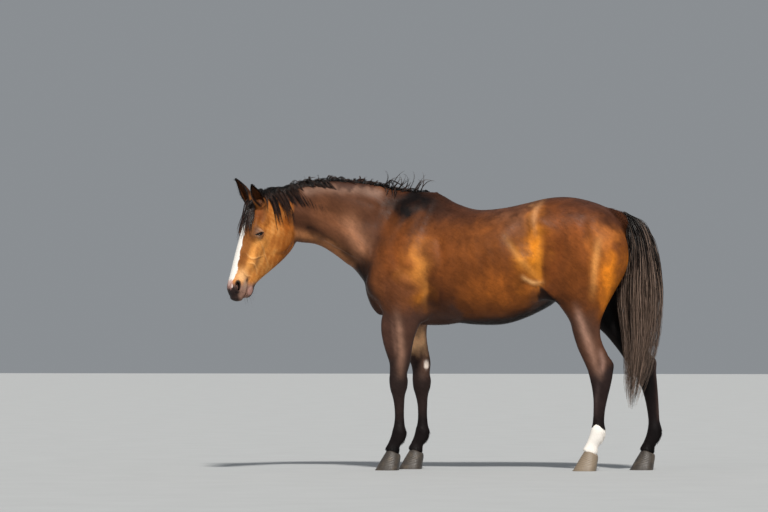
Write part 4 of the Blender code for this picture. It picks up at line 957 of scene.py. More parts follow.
def lay_legs(lay, p, straight, cloudy):
    """Dark points of the legs, their painted sheen, painted shade between the hind legs, a painted
    highlight inside the right forearm and the callus of the right foreleg.
    """
    x, y, z = p.T
    sx, _, sz = straight.T
    fore, hind = past(0.10 - x, 0.05), past(x - 0.52, 0.05)
    inner = past(0.115 - np.abs(y), 0.03)
    lay("#4A3229", 0.92 * fore * past(0.93 - z, 0.14) * past(x + 0.50, 0.1))
    lay("#241C1B", 0.90 * fore * past(0.66 - z, 0.20))
    lay("#4C3328", 0.92 * hind * past(0.89 - z + 0.25 * (0.85 - x), 0.18))
    lay("#1E1718", 0.92 * hind * past(0.62 - z + 0.5 * (x - 0.90) * (y < 0), 0.16))
    # painted shade on the inner sides of the hind legs, between them
    lay("#070506", 0.95 * hind * past(0.10 - np.abs(y), 0.04) * past(1.1 - z, 0.2))
    # painted shade on the inner side of the far hind leg, in the shadow of the near thigh and tail
    lay("#070506", 0.92 * hind * (y > 0) * past(0.17 - y, 0.04) * past(1.05 - z, 0.1)
        * past(z - 0.62, 0.1))
    paired = straight - np.column_stack([FAR_FORE_BACK * (y > 0) * (sx < 0.3), 0 * sx, 0 * sx])
    for code, strength, width, line in LEG_SHEEN:
        lay(code, strength * (1 + 0.25 * cloudy) * band(paired, line, width, True))
    # painted highlight on the sunlit inner face of the right forearm
    lay("#FFC794", 0.92 * fore * inner * (y > 0) * past(0.80 - z, 0.10) * past(z - 0.68, 0.10))
    callus = np.hypot((sx + 0.112) / 0.013, (sz - 0.600) / 0.026)
    lay("#D9CBC0", 0.95 * fore * past(1.0 - callus, 0.4) * past(0.16 - y, 0.03) * (y > 0))
    lay("#110D0E", 0.85 * past(0.30 - z, 0.10))
    lay("#070506", 0.90 * past(0.12 - z, 0.06))


def lay_head(lay, p, straight):
    """Golden face with painted highlights, painted shade on the lower jaw, brow and eyes, grey
    muzzle, black nostril with painted shade deep in it, ear rims, painted light and shade along the
    veins.
    """
    a, n, side = head_place(straight)
    side = np.abs(side)
    head = past(ahead_of_cheek(p[:, 0], p[:, 2], -0.880), 0.065)

    def oval(down, reach_down, out, reach_out):
        return head * np.exp(-((a - down) / reach_down) ** 2 - ((n - out) / reach_out) ** 2)

    lay("#BC7534", 0.96 * head)
    # painted highlight over the middle of the face
    lay("#DE9A4E", 0.75 * oval(41, 12, 1.5, 7))
    patchy = wander(straight * (1.0, 1.0, 0.6), 0.060, 11)
    lay("#8A4518", 0.38 * head * np.clip(patchy, 0, 1))
    lay("#E6A862", 0.30 * head * np.clip(-patchy, 0, 1))
    # painted shade on the lower jaw
    lay("#8C4A19", 0.70 * head * past(-11.5 - n - 0.25 * (a - 30), 9))
    lay("#5E361F", 0.80 * head * past(21 - a, 9) * past(n - 1.0, 5))
    lay("#7C4A22", 0.85 * head * past(n - 5.6, 2.6) * past(50 - a, 8))
    for code, strength, down, reach_down, out, reach_out, lean in HEAD_OVALS:
        lay(code, strength * oval(down - lean * (n - EYE_AT[1]), reach_down, out, reach_out))
    muzzle = head * past(a - 57.2 - 0.3 * (n - 3), 4.5)
    lay("#7E665F", 0.85 * muzzle)
    lay("#1B1618", 0.92 * muzzle * past(n + 0.9 * (a - 62) - 7.6, 3.0))
    lay("#5E4039", 0.45 * muzzle * np.exp(-((n - 1.0) / 1.0) ** 2))
    lay("#94806F", 0.75 * oval(57.0, 3.6, 3.4, 1.5))
    lay("#140E0F", 0.95 * oval(54.9, 1.6, 2.7, 0.70))
    lay("#2A2225", 0.80 * muzzle * past(-2.2 - n, 2.0))
    t = np.clip(((a - 58.6) * 3.8 - (n - 7.9) * 1.4 - (side - 4.9) * 1.3) / 18.1, -0.2, 1)
    nostril = np.sqrt((a - 58.6 - 3.8 * t) ** 2 + (n - 7.9 + 1.4 * t) ** 2
                      + (side - 4.9 + 1.3 * t) ** 2)
    lay("#1B1415", 0.85 * head * past(1.75 - nostril, 0.5))
    # painted shade deep in the nostril
    lay("#020202", 0.98 * head * past(1.05 - nostril, 0.25))
    for form in EAR_FORMS:
        near, within, rim = form.parts_of(straight)
        lay("#3E2416", 0.9 * near * past(6.0 - a, 4.0))
        lay("#54311D", 0.8 * near * within)
        lay("#0B0809", 0.95 * near * past(0.007 - rim, 0.006))
    lay("#0B0809", 0.95 * head * past(-8.0 - a, 3.0))
    lay("#120D0C", 0.90 * head * past(6.0 - a, 4.0) * past(4.2 - side, 1.5))
    for vein in FACE_VEINS:
        line = [face(*k) for k in vein]
        # painted highlight along each vein, painted shade just below it
        lay("#F2BC7A", 0.40 * head * band(straight, line, VEIN_HALF, True))
        lay("#7A4420", 0.40 * head * band(straight + (0.0, 0.0, 0.0075), line, VEIN_HALF, True))
    lay("#6A4C3C", 0.55 * oval(42.5, 2.6, 0.2, 1.2))


def pale_marks(p, straight):
    """How far inside the white and the pink marks a point lies, in metres."""
    x, y, z = p.T
    a, n, side = head_place(straight)
    side = np.abs(side)
    half = np.interp(a, [15, 18, 24, 34, 44, 54, 57, 60.5],
                     [0.0, 1.2, 2.2, 2.3, 2.7, 3.0, 2.5, 0.7])
    half = half + 0.16 * np.sin(a * 0.9) + 0.06 * np.sin(a * 2.3)
    white = np.minimum(np.minimum(half - side, n - 5.0), 60.5 - a) / 100     # blaze
    snip = 0.65 - np.hypot((a - 60.4) * 0.6, side - 2.4)
    white = np.maximum(white, np.where(y < 0, np.minimum(snip, n - 7.2) / 100, OUTSIDE))
    sock_top = 0.225 + 0.03 * np.cos((x - 0.90) * 22) + 0.010 * wander(straight, 0.05, 7)
    sock = np.where((y < 0) & (x > 0.6) & (x < 1.0), sock_top - z, OUTSIDE)
    white = np.maximum(white, np.maximum(sock, OUTSIDE))
    pink = np.minimum(1.5 - np.hypot((a - 59.6) * 0.6, side - 1.3), n - 4.0) / 100
    lip = (2.0 - np.hypot((a - 60.0) * 0.8, (n + 1.6) * 1.1)) / 100
    pink = np.maximum(pink, np.where(y < 0, lip, OUTSIDE))
    return white, pink


def coat_marks(straight):
    """Colour of the coat with its painted highlights and shade, and how far inside the white and
    the pink marks a point lies.
    """
    p = straight
    drift = 0.018 + 0.008 * smooth_step((p[:, 0] + 0.30) / 0.2)
    p = p + np.column_stack([drift * wander(p, 0.26, 1), np.zeros(len(p)),
                             drift * wander(p, 0.26, 2)])
    p = p + np.column_stack([0.007 * wander(p, 0.07, 3), np.zeros(len(p)),
                             0.012 * wander(p, 0.07, 4)])
    cloudy = wander(p * (1.0, 1.0, 0.45), 0.10, 5)
    x, _, z = p.T
    colour = np.tile(linear("#673818"), (len(p), 1))     # ground of the coat

    def lay(code, share):
        share = np.clip(share, 0, 1)[:, None]
        colour[:] = colour * (1 - share) + linear(code) * share

    back = np.interp(x, [-0.2, 0.2, 0.7, 1.0], [1.57, 1.49, 1.56, 1.44])
    lay("#42261A", 0.88 * past(z - back + 0.11, 0.18) * past(x + 0.30, 0.2))
    # patches of coat colour, painted highlights and painted shade among them
    for code, cx, cz, rx, rz, strength in COAT_AND_LIGHT_PATCHES:
        lay(code, strength * (1 + 0.22 * cloudy)
            * np.exp(-((x - cx) / rx) ** 2 - ((z - cz) / rz) ** 2))
    colour *= (1 + 0.10 * cloudy + 0.06 * wander(p * (1.0, 1.0, 0.5), 0.045, 9))[:, None]
    lay_folds(lay, p, straight, cloudy)
    lay_legs(lay, p, straight, cloudy)
    lay_head(lay, p, straight)
    return (colour, *pale_marks(p, straight))


def lie_of_coat(p, normals):
    """Which way the hair points, in the straight pose."""
    x, z = p[:, 0], p[:, 2]
    way = np.tile(np.array([0.80, 0.0, -0.60]), (len(p), 1))
    head = smooth_step((-0.90 - x) / 0.08)[:, None]
    way = way * (1 - head) + np.array([-0.10, 0.0, -1.0]) * head
    leg = (smooth_step((1.02 - z) / 0.15) * (np.abs(p[:, 1]) > 0.03)
           * np.maximum(smooth_step((0.02 - x) / 0.1), smooth_step((x - 0.60) / 0.1)))[:, None]
    way = way * (1 - leg) + np.array([0.12, 0.0, -1.0]) * leg
    a, n, _ = head_place(p)
    ear = (head[:, 0] * (a < 2) * (n > -2) > 0.5)[:, None]
    way = np.where(ear, np.array([-0.3, 0.0, 1.0]), way)
    return unit(way - normals * (way * normals).sum(1, keepdims=True))


def bend_way(p, way):
    """A direction at p, carried along as neck and head swing."""
    little = 0.002
    return unit((bend(p + way * little) - bend(p)) / little)


def flat_place(p):
    """Place of a skin point on a flat lay-out: strips round the trunk, head and each leg."""
    x, y, z = p.T
    a, n, side = head_place(p)
    turn = 2 * math.pi
    mid = np.interp(x, [-1.05, -0.6, -0.3, 0.3, 1.0], [1.49, 1.46, 1.30, 1.16, 1.25])
    u = 0.02 + 0.60 * (x + 1.1) / 2.2
    v = 0.02 + 0.44 * (np.arctan2(y, z - mid) / turn + 0.5)
    head = (ahead_of_cheek(x, z) > 0) & (a > -24)
    u = np.where(head, 0.66 + 0.32 * (a + 24) / 92, u)
    v = np.where(head, 0.02 + 0.44 * (np.arctan2(side, n + 4) / turn + 0.5), v)
    for k, (name, toe) in enumerate(TOE.items()):
        s = -1 if "left" in name else 1
        cy = s * (STANCE_FORE if "fore" in name else STANCE_HIND)
        leg = (z < 0.84) & (y * s > 0) & ((x < 0.2) == ("fore" in name))
        cx = toe + 0.10 + np.interp(z, [0.1, 0.6, 0.84], [0.0, 0.04, 0.0])
        u = np.where(leg, 0.02 + 0.24 * k + 0.22 * (np.arctan2(y - cy, x - cx) / turn + 0.5), u)
        v = np.where(leg, 0.52 + 0.46 * z / 0.84, v)
    return np.column_stack([np.clip(u, 0.004, 0.996), np.clip(v, 0.004, 0.996), 0 * u])


# ---- materials -----------------------------------------------------------------------------

def add(tree, kind, inputs=None, **settings):
    """Adds a node, with its settings, and its inputs set or linked."""
    node = tree.nodes.new(kind)
    for key, value in settings.items():
        setattr(node, key, value)
    for key, value in (inputs or {}).items():
        if isinstance(value, bpy.types.NodeSocket):
            tree.links.new(value, node.inputs[key])
        else:
            node.inputs[key].default_value = value
    return node


def rgb(code):
    return (*linear(code), 1.0)


def surface(name, **shader_inputs):
    """A new material, its node tree and its surface node with these inputs set."""
    mat = bpy.data.materials.new(name)
    mat.use_nodes = True
    shader = mat.node_tree.nodes["Principled BSDF"]
    for key, value in shader_inputs.items():
        shader.inputs[key.replace("_", " ")].default_value = value
    return mat, mat.node_tree, shader


def feed(tree, shader, **values):
    """Links values to the inputs of the surface."""
    for key, value in values.items():
        tree.links.new(value, shader.inputs[key.replace("_", " ")])


def attribute(tree, name):
    return add(tree, "ShaderNodeAttribute", attribute_name=name)


def stretched(tree, vector, turn, scale):
    """The point, turned about the side axis and scaled, for a pattern with a lie."""
    turned = add(tree, "ShaderNodeMapping", {0: vector, 2: (0, turn, 0)})
    return add(tree, "ShaderNodeMapping", {0: turned.outputs[0], 3: scale}).outputs[0]


def noise(tree, vector, scale, detail=2.0, rough=0.5):
    return add(tree, "ShaderNodeTexNoise",
               {"Vector": vector, "Scale": scale, "Detail": detail, "Roughness": rough}).outputs[0]


def ramp(tree, value, low, high, to_low=0.0, to_high=1.0):
    return add(tree, "ShaderNodeMapRange", {0: value, 1: low, 2: high, 3: to_low, 4: to_high},
               interpolation_type="SMOOTHSTEP").outputs[0]


def maths(tree, operation, a, b):
    return add(tree, "ShaderNodeMath", {0: a, 1: b}, operation=operation).outputs[0]


def tinted(tree, factor, a, b, blend="MIX"):
    return add(tree, "ShaderNodeMix", {0: factor, 6: a, 7: b}, data_type="RGBA",
               blend_type=blend).outputs[2]


def coat_material(name, relief):
    """Short summer coat of a bay horse: fine close hair with a satin gloss from its own oil,
    darker where it is smutty, white hair over pink skin in the marks; the colour it is given
    also holds painted highlights and painted shade."""
    mat, tree, shader = surface(name, Roughness=0.50, IOR=1.5, Specular_IOR_Level=0.10)
    rest = attribute(tree, "rest").outputs["Vector"]
    lean = math.radians(-38)
    lie = stretched(tree, rest, lean, (12, 60, 75))       # clumps 13 mm wide, 80 mm long
    hair = stretched(tree, rest, lean, (60, 320, 420))    # strands 2.4 mm, coarser than real
    streak, fine = noise(tree, lie, 1.0, 3), noise(tree, hair, 1.0, 3, 0.6)
    cloud = noise(tree, rest, 9.0, 3, 0.6)
    tone = maths(tree, "ADD", ramp(tree, streak, 0.3, 0.7, -0.07, 0.07),
                 ramp(tree, fine, 0.3, 0.7, -0.13, 0.13))
    tone = maths(tree, "ADD", tone, ramp(tree, cloud, 0.3, 0.7, 0.84, 1.16))
    tone_colour = add(tree, "ShaderNodeCombineColor", {0: tone, 1: tone, 2: tone}).outputs[0]
    base = tinted(tree, 1.0, attribute(tree, "coat").outputs["Color"], tone_colour, "MULTIPLY")
    edge = maths(tree, "MULTIPLY", maths(tree, "SUBTRACT", noise(tree, rest, 170.0, 3), 0.5), 0.007)
    pink = maths(tree, "ADD", attribute(tree, "pink").outputs["Fac"], edge)
    white = maths(tree, "ADD", attribute(tree, "white").outputs["Fac"], edge)
    white_hair = tinted(tree, fine, rgb("#DDD6CE"), rgb("#FBF8F3"))
    base = tinted(tree, ramp(tree, white, -0.0015, 0.0015), base, white_hair)
    skin = tinted(tree, noise(tree, rest, 260.0, 2), rgb("#A8786E"), rgb("#D2A79B"))
    base = tinted(tree, ramp(tree, pink, -0.007, 0.005, 0.0, 0.80), base, skin)
    feed(tree, shader, Base_Color=base, Roughness=ramp(tree, streak, 0.3, 0.7, 0.42, 0.56))
    if relief:
        heights = maths(tree, "ADD", maths(tree, "MULTIPLY", streak, 1.4), fine)
        bump = add(tree, "ShaderNodeBump", {"Strength": 0.55, "Distance": relief,
                                            "Height": heights})
        feed(tree, shader, Normal=bump.outputs[0])
    return mat


def mesh_piece(name, points, faces, mat, smooth=True):
    mesh = bpy.data.meshes.new(name)
    mesh.from_pydata(np.asarray(points).tolist(), [], [list(f) for f in faces])
    if smooth:
        mesh.polygons.foreach_set("use_smooth", [True] * len(mesh.polygons))
    mesh.materials.append(mat)
    mesh.update()
    piece = bpy.data.objects.new(name, mesh)
    root_collection.objects.link(piece)
    return piece


def store(mesh, name, values, kind="FLOAT"):
    """A named value on every point of the mesh."""
    values = np.asarray(values, float)
    if kind == "FLOAT_COLOR":
        values = np.column_stack([values, np.ones(len(values))])
    layer = mesh.attributes.new(name, kind, "POINT")
    field = {"FLOAT": "value", "FLOAT_VECTOR": "vector", "FLOAT_COLOR": "color",
             "FLOAT2": "vector"}[kind]
    layer.data.foreach_set(field, values.ravel())


def store_marks(mesh, rest):
    colour, white, pink = coat_marks(rest)
    store(mesh, "rest", rest, "FLOAT_VECTOR")
    # the coat colour carries painted highlights and painted shade too
    store(mesh, "coat", colour, "FLOAT_COLOR")
    store(mesh, "white", white)
    store(mesh, "pink", pink)


def settled(points):
    """From the straight pose to where the whole stands."""
    return bend(points) - np.array(ORIGIN)


def make_skin(mat):
    points, quads = skin_points()
    rest = shaped(points, vertex_normals(points, quads))
    piece = mesh_piece("skin", settled(rest), quads, mat)
    store_marks(piece.data, rest)
    return piece, rest, quads


# ---- hair ------------------------------------------------------------------------------------

def new_tree(name, inputs):
    """Geometry tree with named inputs; gives the tree, its input node and the identifiers."""
    tree = bpy.data.node_groups.new(name, "GeometryNodeTree")
    tree.interface.new_socket("Geometry", in_out="INPUT", socket_type="NodeSocketGeometry")
    names = {}
    for key, kind in inputs:
        item = tree.interface.new_socket(key, in_out="INPUT", socket_type="NodeSocket" + kind)
        names[key] = item.identifier
    tree.interface.new_socket("Geometry", in_out="OUTPUT", socket_type="NodeSocketGeometry")
    return tree, add(tree, "NodeGroupInput").outputs, names


def ends_in(tree, geometry, material, round_=True):
    """Realized, shaded round or flat, given its material, and handed out."""
    real = add(tree, "GeometryNodeRealizeInstances", {0: geometry})
    smooth = add(tree, "GeometryNodeSetShadeSmooth", {0: real.outputs[0], 2: round_})
    done = add(tree, "GeometryNodeSetMaterial", {0: smooth.outputs[0], 2: material})
    add(tree, "NodeGroupOutput", {0: done.outputs[0]})


def named(tree, name, kind="FLOAT"):
    """A value stored on the geometry."""
    return add(tree, "GeometryNodeInputNamedAttribute", {0: name}, data_type=kind).outputs[0]


def kept(tree, geometry, name, value, kind="FLOAT", domain="POINT"):
    """The geometry with the value stored on it."""
    return add(tree, "GeometryNodeStoreNamedAttribute", {0: geometry, 2: name, 3: value},
               data_type=kind, domain=domain).outputs[0]


def drawn(tree, low, high, identity, seed, kind="FLOAT"):
    """A random value between low and high for each element."""
    first = 0 if kind == "FLOAT_VECTOR" else 2
    node = add(tree, "FunctionNodeRandomValue",
               {first: low, first + 1: high, 7: identity, 8: seed}, data_type=kind)
    return node.outputs[0 if kind == "FLOAT_VECTOR" else 1]


def vmaths(tree, operation, a, b):
    """Vector sum and so on; b is a number when it scales."""
    return add(tree, "ShaderNodeVectorMath", {0: a, 3 if operation == "SCALE" else 1: b},
               operation=operation).outputs[0]


PATCH = 0.003       # side of a hair's patch on the lay-out


def patch_uv(tree, geometry, across, up):
    """Each hair a small patch at its root's place on the lay-out of the skin."""
    spot_uv = add(tree, "ShaderNodeCombineXYZ", {0: across, 1: up}).outputs[0]
    uv = vmaths(tree, "ADD", named(tree, "root", "FLOAT_VECTOR"),
                vmaths(tree, "SCALE", spot_uv, PATCH))
    return kept(tree, geometry, "OFBake", uv, "FLOAT2", "CORNER")


def lock_tree():
    """Locks: each guide line becomes many fine hairs that draw together to the tip."""
    tree, given, names = new_tree("locks of hair", (
        ("Hairs", "Int"), ("Steps", "Int"), ("Spread", "Float"), ("Clump", "Float"),
        ("Frizz", "Float"), ("Radius", "Float"), ("Shortest", "Float"), ("Seed", "Int"),
        ("Hair", "Material")))
    curve = add(tree, "GeometryNodeMeshToCurve", {0: given["Geometry"]}).outputs[0]
    many = add(tree, "GeometryNodeDuplicateElements", {0: curve, 2: given["Hairs"]},
               domain="SPLINE").outputs[0]
    index = add(tree, "GeometryNodeInputIndex").outputs[0]
    many = kept(tree, many, "hair", index, "INT", "CURVE")
    hair = named(tree, "hair", "INT")
    length = drawn(tree, given["Shortest"], 1.0, hair, given["Seed"])
    many = add(tree, "GeometryNodeTrimCurve", {0: many, 3: length}, mode="FACTOR").outputs[0]
    many = add(tree, "GeometryNodeResampleCurve", {0: many, 2: given["Steps"]}).outputs[0]
    factor = add(tree, "GeometryNodeSplineParameter").outputs[0]
    apart = drawn(tree, (-1, -1, -1), (1, 1, 1), hair, given["Seed"], "FLOAT_VECTOR")
    closing = maths(tree, "SUBTRACT", 1.0, maths(tree, "MULTIPLY", given["Clump"], factor))
    offset = vmaths(tree, "SCALE", apart, maths(tree, "MULTIPLY", closing, given["Spread"]))
    place = add(tree, "GeometryNodeInputPosition").outputs[0]
    waves = add(tree, "ShaderNodeTexNoise",
                {"Vector": vmaths(tree, "ADD", vmaths(tree, "SCALE", apart, 3.0), place),
                 "Scale": 9.0, "Detail": 2.0}).outputs[1]
    wave = vmaths(tree, "SCALE", vmaths(tree, "SUBTRACT", waves, (0.5, 0.5, 0.5)),
                  maths(tree, "MULTIPLY", given["Frizz"], factor))
    many = add(tree, "GeometryNodeSetPosition",
               {0: many, 3: vmaths(tree, "ADD", offset, wave)}).outputs[0]
    many = kept(tree, many, "along", factor)
    many = kept(tree, many, "tone", drawn(tree, 0.0, 1.0, hair, 7))
    taper = maths(tree, "SUBTRACT", 1.0, maths(tree, "MULTIPLY", 0.8,
                                               maths(tree, "POWER", factor, 2.0)))
    thick = maths(tree, "MULTIPLY", maths(tree, "MULTIPLY", given["Radius"], taper),
                  drawn(tree, 0.6, 1.3, hair, 11))
    round_ = add(tree, "GeometryNodeCurvePrimitiveCircle", {0: 3, 4: 1.0}).outputs[0]
    tubes = add(tree, "GeometryNodeCurveToMesh", {0: many, 1: round_, 2: thick, 3: True})
    solid = patch_uv(tree, tubes.outputs[0], named(tree, "along"), named(tree, "tone"))
    ends_in(tree, solid, given["Hair"])
    return tree, names


def tuft_tree():
    """Tufts of short coat: flat curved blades scattered on the skin, lying with the hair."""
    tree, given, names = new_tree("tufts of coat", (
        ("Density", "Float"), ("Length", "Float"), ("Width", "Float"), ("Lift", "Float"),
        ("Joints", "Int"), ("Seed", "Int"), ("Hair", "Material")))
    wanted = maths(tree, "MULTIPLY", named(tree, "density"), given["Density"])
    spread = add(tree, "GeometryNodeDistributePointsOnFaces",
                 {0: given["Geometry"], 4: wanted, 6: given["Seed"]})
    index = add(tree, "GeometryNodeInputIndex").outputs[0]
    normal = spread.outputs[1]
    jitter = drawn(tree, (-0.16, -0.16, -0.16), (0.16, 0.16, 0.16), index, 3, "FLOAT_VECTOR")
    rise = vmaths(tree, "SCALE", normal,
                  maths(tree, "MULTIPLY", given["Lift"], drawn(tree, 0.5, 1.5, index, 4)))
    way = vmaths(tree, "ADD", vmaths(tree, "ADD", named(tree, "lie", "FLOAT_VECTOR"), jitter), rise)
    turn = add(tree, "FunctionNodeAxesToRotation", {0: way, 1: normal},
               primary_axis="Z", secondary_axis="Y").outputs[0]
    blade = add(tree, "GeometryNodeMeshCone",
                {0: 3, 1: given["Joints"], 2: 1, 3: 0.06, 4: 1.0, 5: 1.0},
                fill_type="NGON").outputs[0]
    place = add(tree, "GeometryNodeInputPosition").outputs[0]
    parts = add(tree, "ShaderNodeSeparateXYZ", {0: place}).outputs
    sag = maths(tree, "MULTIPLY", maths(tree, "MULTIPLY", parts[2], parts[2]), -2.2)
    blade = add(tree, "GeometryNodeSetPosition",
                {0: blade, 3: add(tree, "ShaderNodeCombineXYZ", {1: sag}).outputs[0]}).outputs[0]
    blade = kept(tree, blade, "along", parts[2])
    long = maths(tree, "MULTIPLY", given["Length"], named(tree, "length"))
    long = maths(tree, "MULTIPLY", long, drawn(tree, 0.6, 1.3, index, 5))
    wide = maths(tree, "MULTIPLY", given["Width"], drawn(tree, 0.6, 1.3, index, 6))
    thick = maths(tree, "MULTIPLY", wide, 0.10)
    size = add(tree, "ShaderNodeCombineXYZ", {0: wide, 1: thick, 2: long}).outputs[0]
    tufts = add(tree, "GeometryNodeInstanceOnPoints",
                {0: spread.outputs[0], 2: blade, 5: turn, 6: size}).outputs[0]
    tufts = add(tree, "GeometryNodeRealizeInstances", {0: tufts}).outputs[0]
    solid = patch_uv(tree, tufts, named(tree, "along"), 0.5)
    ends_in(tree, solid, given["Hair"], round_=False)
    return tree, names


def grown(name, source, grower, **values):
    """A piece made by the tree on the source mesh, kept as a plain mesh."""
    tree, names = grower
    piece = bpy.data.objects.new(name, source)
    root_collection.objects.link(piece)
    step = piece.modifiers.new("Grow", "NODES")
    step.node_group = tree
    for key, value in values.items():
        step[names[key]] = value
    bpy.context.view_layer.update()
    graph = bpy.context.evaluated_depsgraph_get()
    mesh = bpy.data.meshes.new_from_object(piece.evaluated_get(graph))
    piece.modifiers.clear()
    piece.data = mesh
    mesh.name = name
    return piece


def guide_mesh(name, lines, roots):
    """Guide lines, in the straight pose, as a mesh of edges; roots are their skin places."""
    count, steps = lines.shape[:2]
    points = settled(lines.reshape(-1, 3))
    number = np.arange(count * steps).reshape(count, steps)
    edges = np.stack([number[:, :-1], number[:, 1:]], -1).reshape(-1, 2)
    mesh = bpy.data.meshes.new(name)
    mesh.from_pydata(points.tolist(), edges.tolist(), [])
    store(mesh, "root", np.repeat(flat_place(roots), steps, axis=0), "FLOAT_VECTOR")
    return mesh


def slope_of(field, p):
    """Which way the field rises, as unit vectors."""
    return unit(gradient(field, p, 0.002))


def fallen(field, start, way, weight, length, lift, cling, steps=14):
    """Lines that leave the skin along way, bend to weight's pull and lie on the skin."""
    p, lines, heading = start.copy(), [start.copy()], unit(way)
    stride, droop = (length / (steps - 1))[:, None], 2.6 / (steps - 1)
    for k in range(1, steps):
        t = k / (steps - 1)
        heading = unit(heading + weight * droop * (0.5 + t))
        p = p + heading * stride
        d, slope = field(p), slope_of(field, p)
        short = np.maximum(lift * min(1.0, 3 * t) - d, 0)
        high = np.maximum(d - lift, 0) * cling * smooth_step(2.5 * t)
        p = p + slope * (short - high)[:, None]
        into = np.minimum((heading * slope).sum(1), 0) * (short > 0)
        heading = heading - slope * into[:, None]
        lines.append(p.copy())
    return np.stack(lines, 1)


NECK_FORMS = SKIN_FORMS[:4]
POLL_FORMS = NECK_FORMS[:2] + [f for f in head_forms() if not f.cut]


def neck_field(q):
    return evaluate(NECK_FORMS, q)


def poll_field(q):
    return evaluate(POLL_FORMS, q)


def crest_points(x, y, field):
    """On the skin along the crest of the neck."""
    z = np.interp(x, [r[0] for r in NECK], [r[1] for r in NECK])
    return settle(field, np.column_stack([x, y, z]), 4)


def mane_guides(seed):
    """Locks along the crest: most fall to her right, some by the poll to her left."""
    rng = np.random.default_rng(seed)
    groups = []

    def locks(count, x0, x1, y0, way, weight, length, lift, cling, scatter=0.25,
              field=neck_field):
        x = x0 + (x1 - x0) * (np.arange(count) + rng.random(count)) / count
        start = crest_points(x, y0 + rng.normal(0, 0.006, count), field)
        ways = np.array(way) + rng.normal(0, scatter, (count, 3))
        pull = np.array(weight) + rng.normal(0, scatter * 0.35, (count, 3))
        long = rng.uniform(*length, count)
        lines = fallen(field, start - (0, 0, 0.003), ways, pull, long,
                       rng.uniform(*lift, count), cling)
        groups.append((lines, start))

    locks(56, -1.13, -0.84, 0.004, (0.5, 0.8, 0.05), (0.25, 0.15, -1.0), (0.12, 0.22),
          (0.003, 0.008), 0.8, field=poll_field)
    locks(92, -0.84, -0.30, 0.006, (0.35, 0.8, 0.50), (0.10, 0.15, -1.0), (0.15, 0.24),
          (0.008, 0.022), 0.4)
    locks(30, -0.36, -0.10, 0.004, (0.6, 0.7, 0.45), (0.35, 0.12, -0.8), (0.07, 0.13),
          (0.003, 0.010), 0.4)
    locks(60, -1.13, -0.93, -0.012, (0.35, -0.7, 0.0), (0.16, -0.05, -1.0), (0.14, 0.29),
          (0.002, 0.006), 0.9, 0.15, poll_field)
    locks(56, -0.97, -0.70, -0.008, (0.4, -0.6, 0.1), (0.20, -0.05, -1.0), (0.12, 0.27),
          (0.002, 0.006), 0.9, 0.15, poll_field)
    locks(44, -0.92, -0.20, -0.004, (0.7, 0.15, 0.35), (0.2, 0.25, -0.35), (0.05, 0.10),
          (0.004, 0.012), 0.1, 0.30)
    locks(5, -0.34, -0.26, -0.010, (0.1, -0.7, 0.2), (-0.2, -0.05, -1.0), (0.06, 0.10),
          (0.002, 0.004), 0.8, 0.12)
    lines = np.concatenate([g[0] for g in groups])
    return lines, np.concatenate([g[1] for g in groups])


def wisp_guides(seed):
    """Loose curly wisps that the air lifts off the crest before the withers."""
    rng = np.random.default_rng(seed)
    count, steps = 40, 14
    x = np.concatenate([rng.uniform(-0.36, -0.13, 22), rng.uniform(-0.92, -0.36, 18)])
    tall = np.concatenate([rng.uniform(0.045, 0.115, 22), rng.uniform(0.018, 0.040, 18)])
    start = crest_points(x, rng.normal(0, 0.006, count), neck_field)
    lean, curl = rng.uniform(0.3, 1.1, count), rng.uniform(-2.6, 2.6, count)
    p, lines = start - (0, 0, 0.004), []
    for k in range(steps):
        t = k / (steps - 1)
        lines.append(p.copy())
        angle = lean + curl * t * t
        step = np.column_stack([np.sin(angle), 0.25 * np.cos(3 * angle), np.cos(angle)])
        p = p + step * (tall * 1.35 / (steps - 1))[:, None]
    return np.stack(lines, 1), start


def forelock_guides(seed):
    """From between the ears down the forehead, most of it over her left brow."""
    rng = np.random.default_rng(seed)
    count = 72
    a, side = rng.uniform(-1.5, 7.0, count), rng.uniform(-3.0, 3.0, count)
    start = np.array([spot(i, 7.0 + 0.25 * i, j) for i, j in zip(a, side)])
    start = settle(poll_field, start, 4)
    drift = np.where(rng.random(count) < 0.66, rng.uniform(-0.36, -0.08, count),
                     rng.uniform(0.02, 0.34, count))
    down = np.array([-0.2756, 0.0, -0.9613])
    ways = np.column_stack([rng.normal(-0.70, 0.08, count), drift * 1.2,
                            rng.normal(-0.60, 0.10, count)])
    pull = down + np.column_stack([np.zeros(count), drift, np.zeros(count)])
    lines = fallen(poll_field, start, ways, pull, rng.uniform(0.18, 0.33, count),
                   rng.uniform(0.003, 0.010, count), 0.9)
    return lines, start


def lash_guides(side):
    """Along the margin of the upper lid, out and then down, longest in the middle."""
    count = 17
    centre, axes = eye_axes(side)
    u = np.linspace(-0.75, 0.80, count)
    flat = np.column_stack([u * LID_HALF, LID_ABOVE * (1 - u * u) + 0.0005])
    out = np.sqrt(np.maximum(LASH_SPHERE ** 2 - (flat ** 2).sum(1), 0.012 ** 2))
    start = centre + np.column_stack([flat, out]) @ axes
    long = 0.018 * (1 - 0.5 * u * u)
    way = np.column_stack([0.35 * u, np.full(count, 0.25), np.ones(count)]) @ axes
    t = np.linspace(0, 1, 7)[:, None]
    lines = start[:, None] + long[:, None, None] * (way[:, None] * t - axes[1] * 0.6 * t * t)
    return lines, start


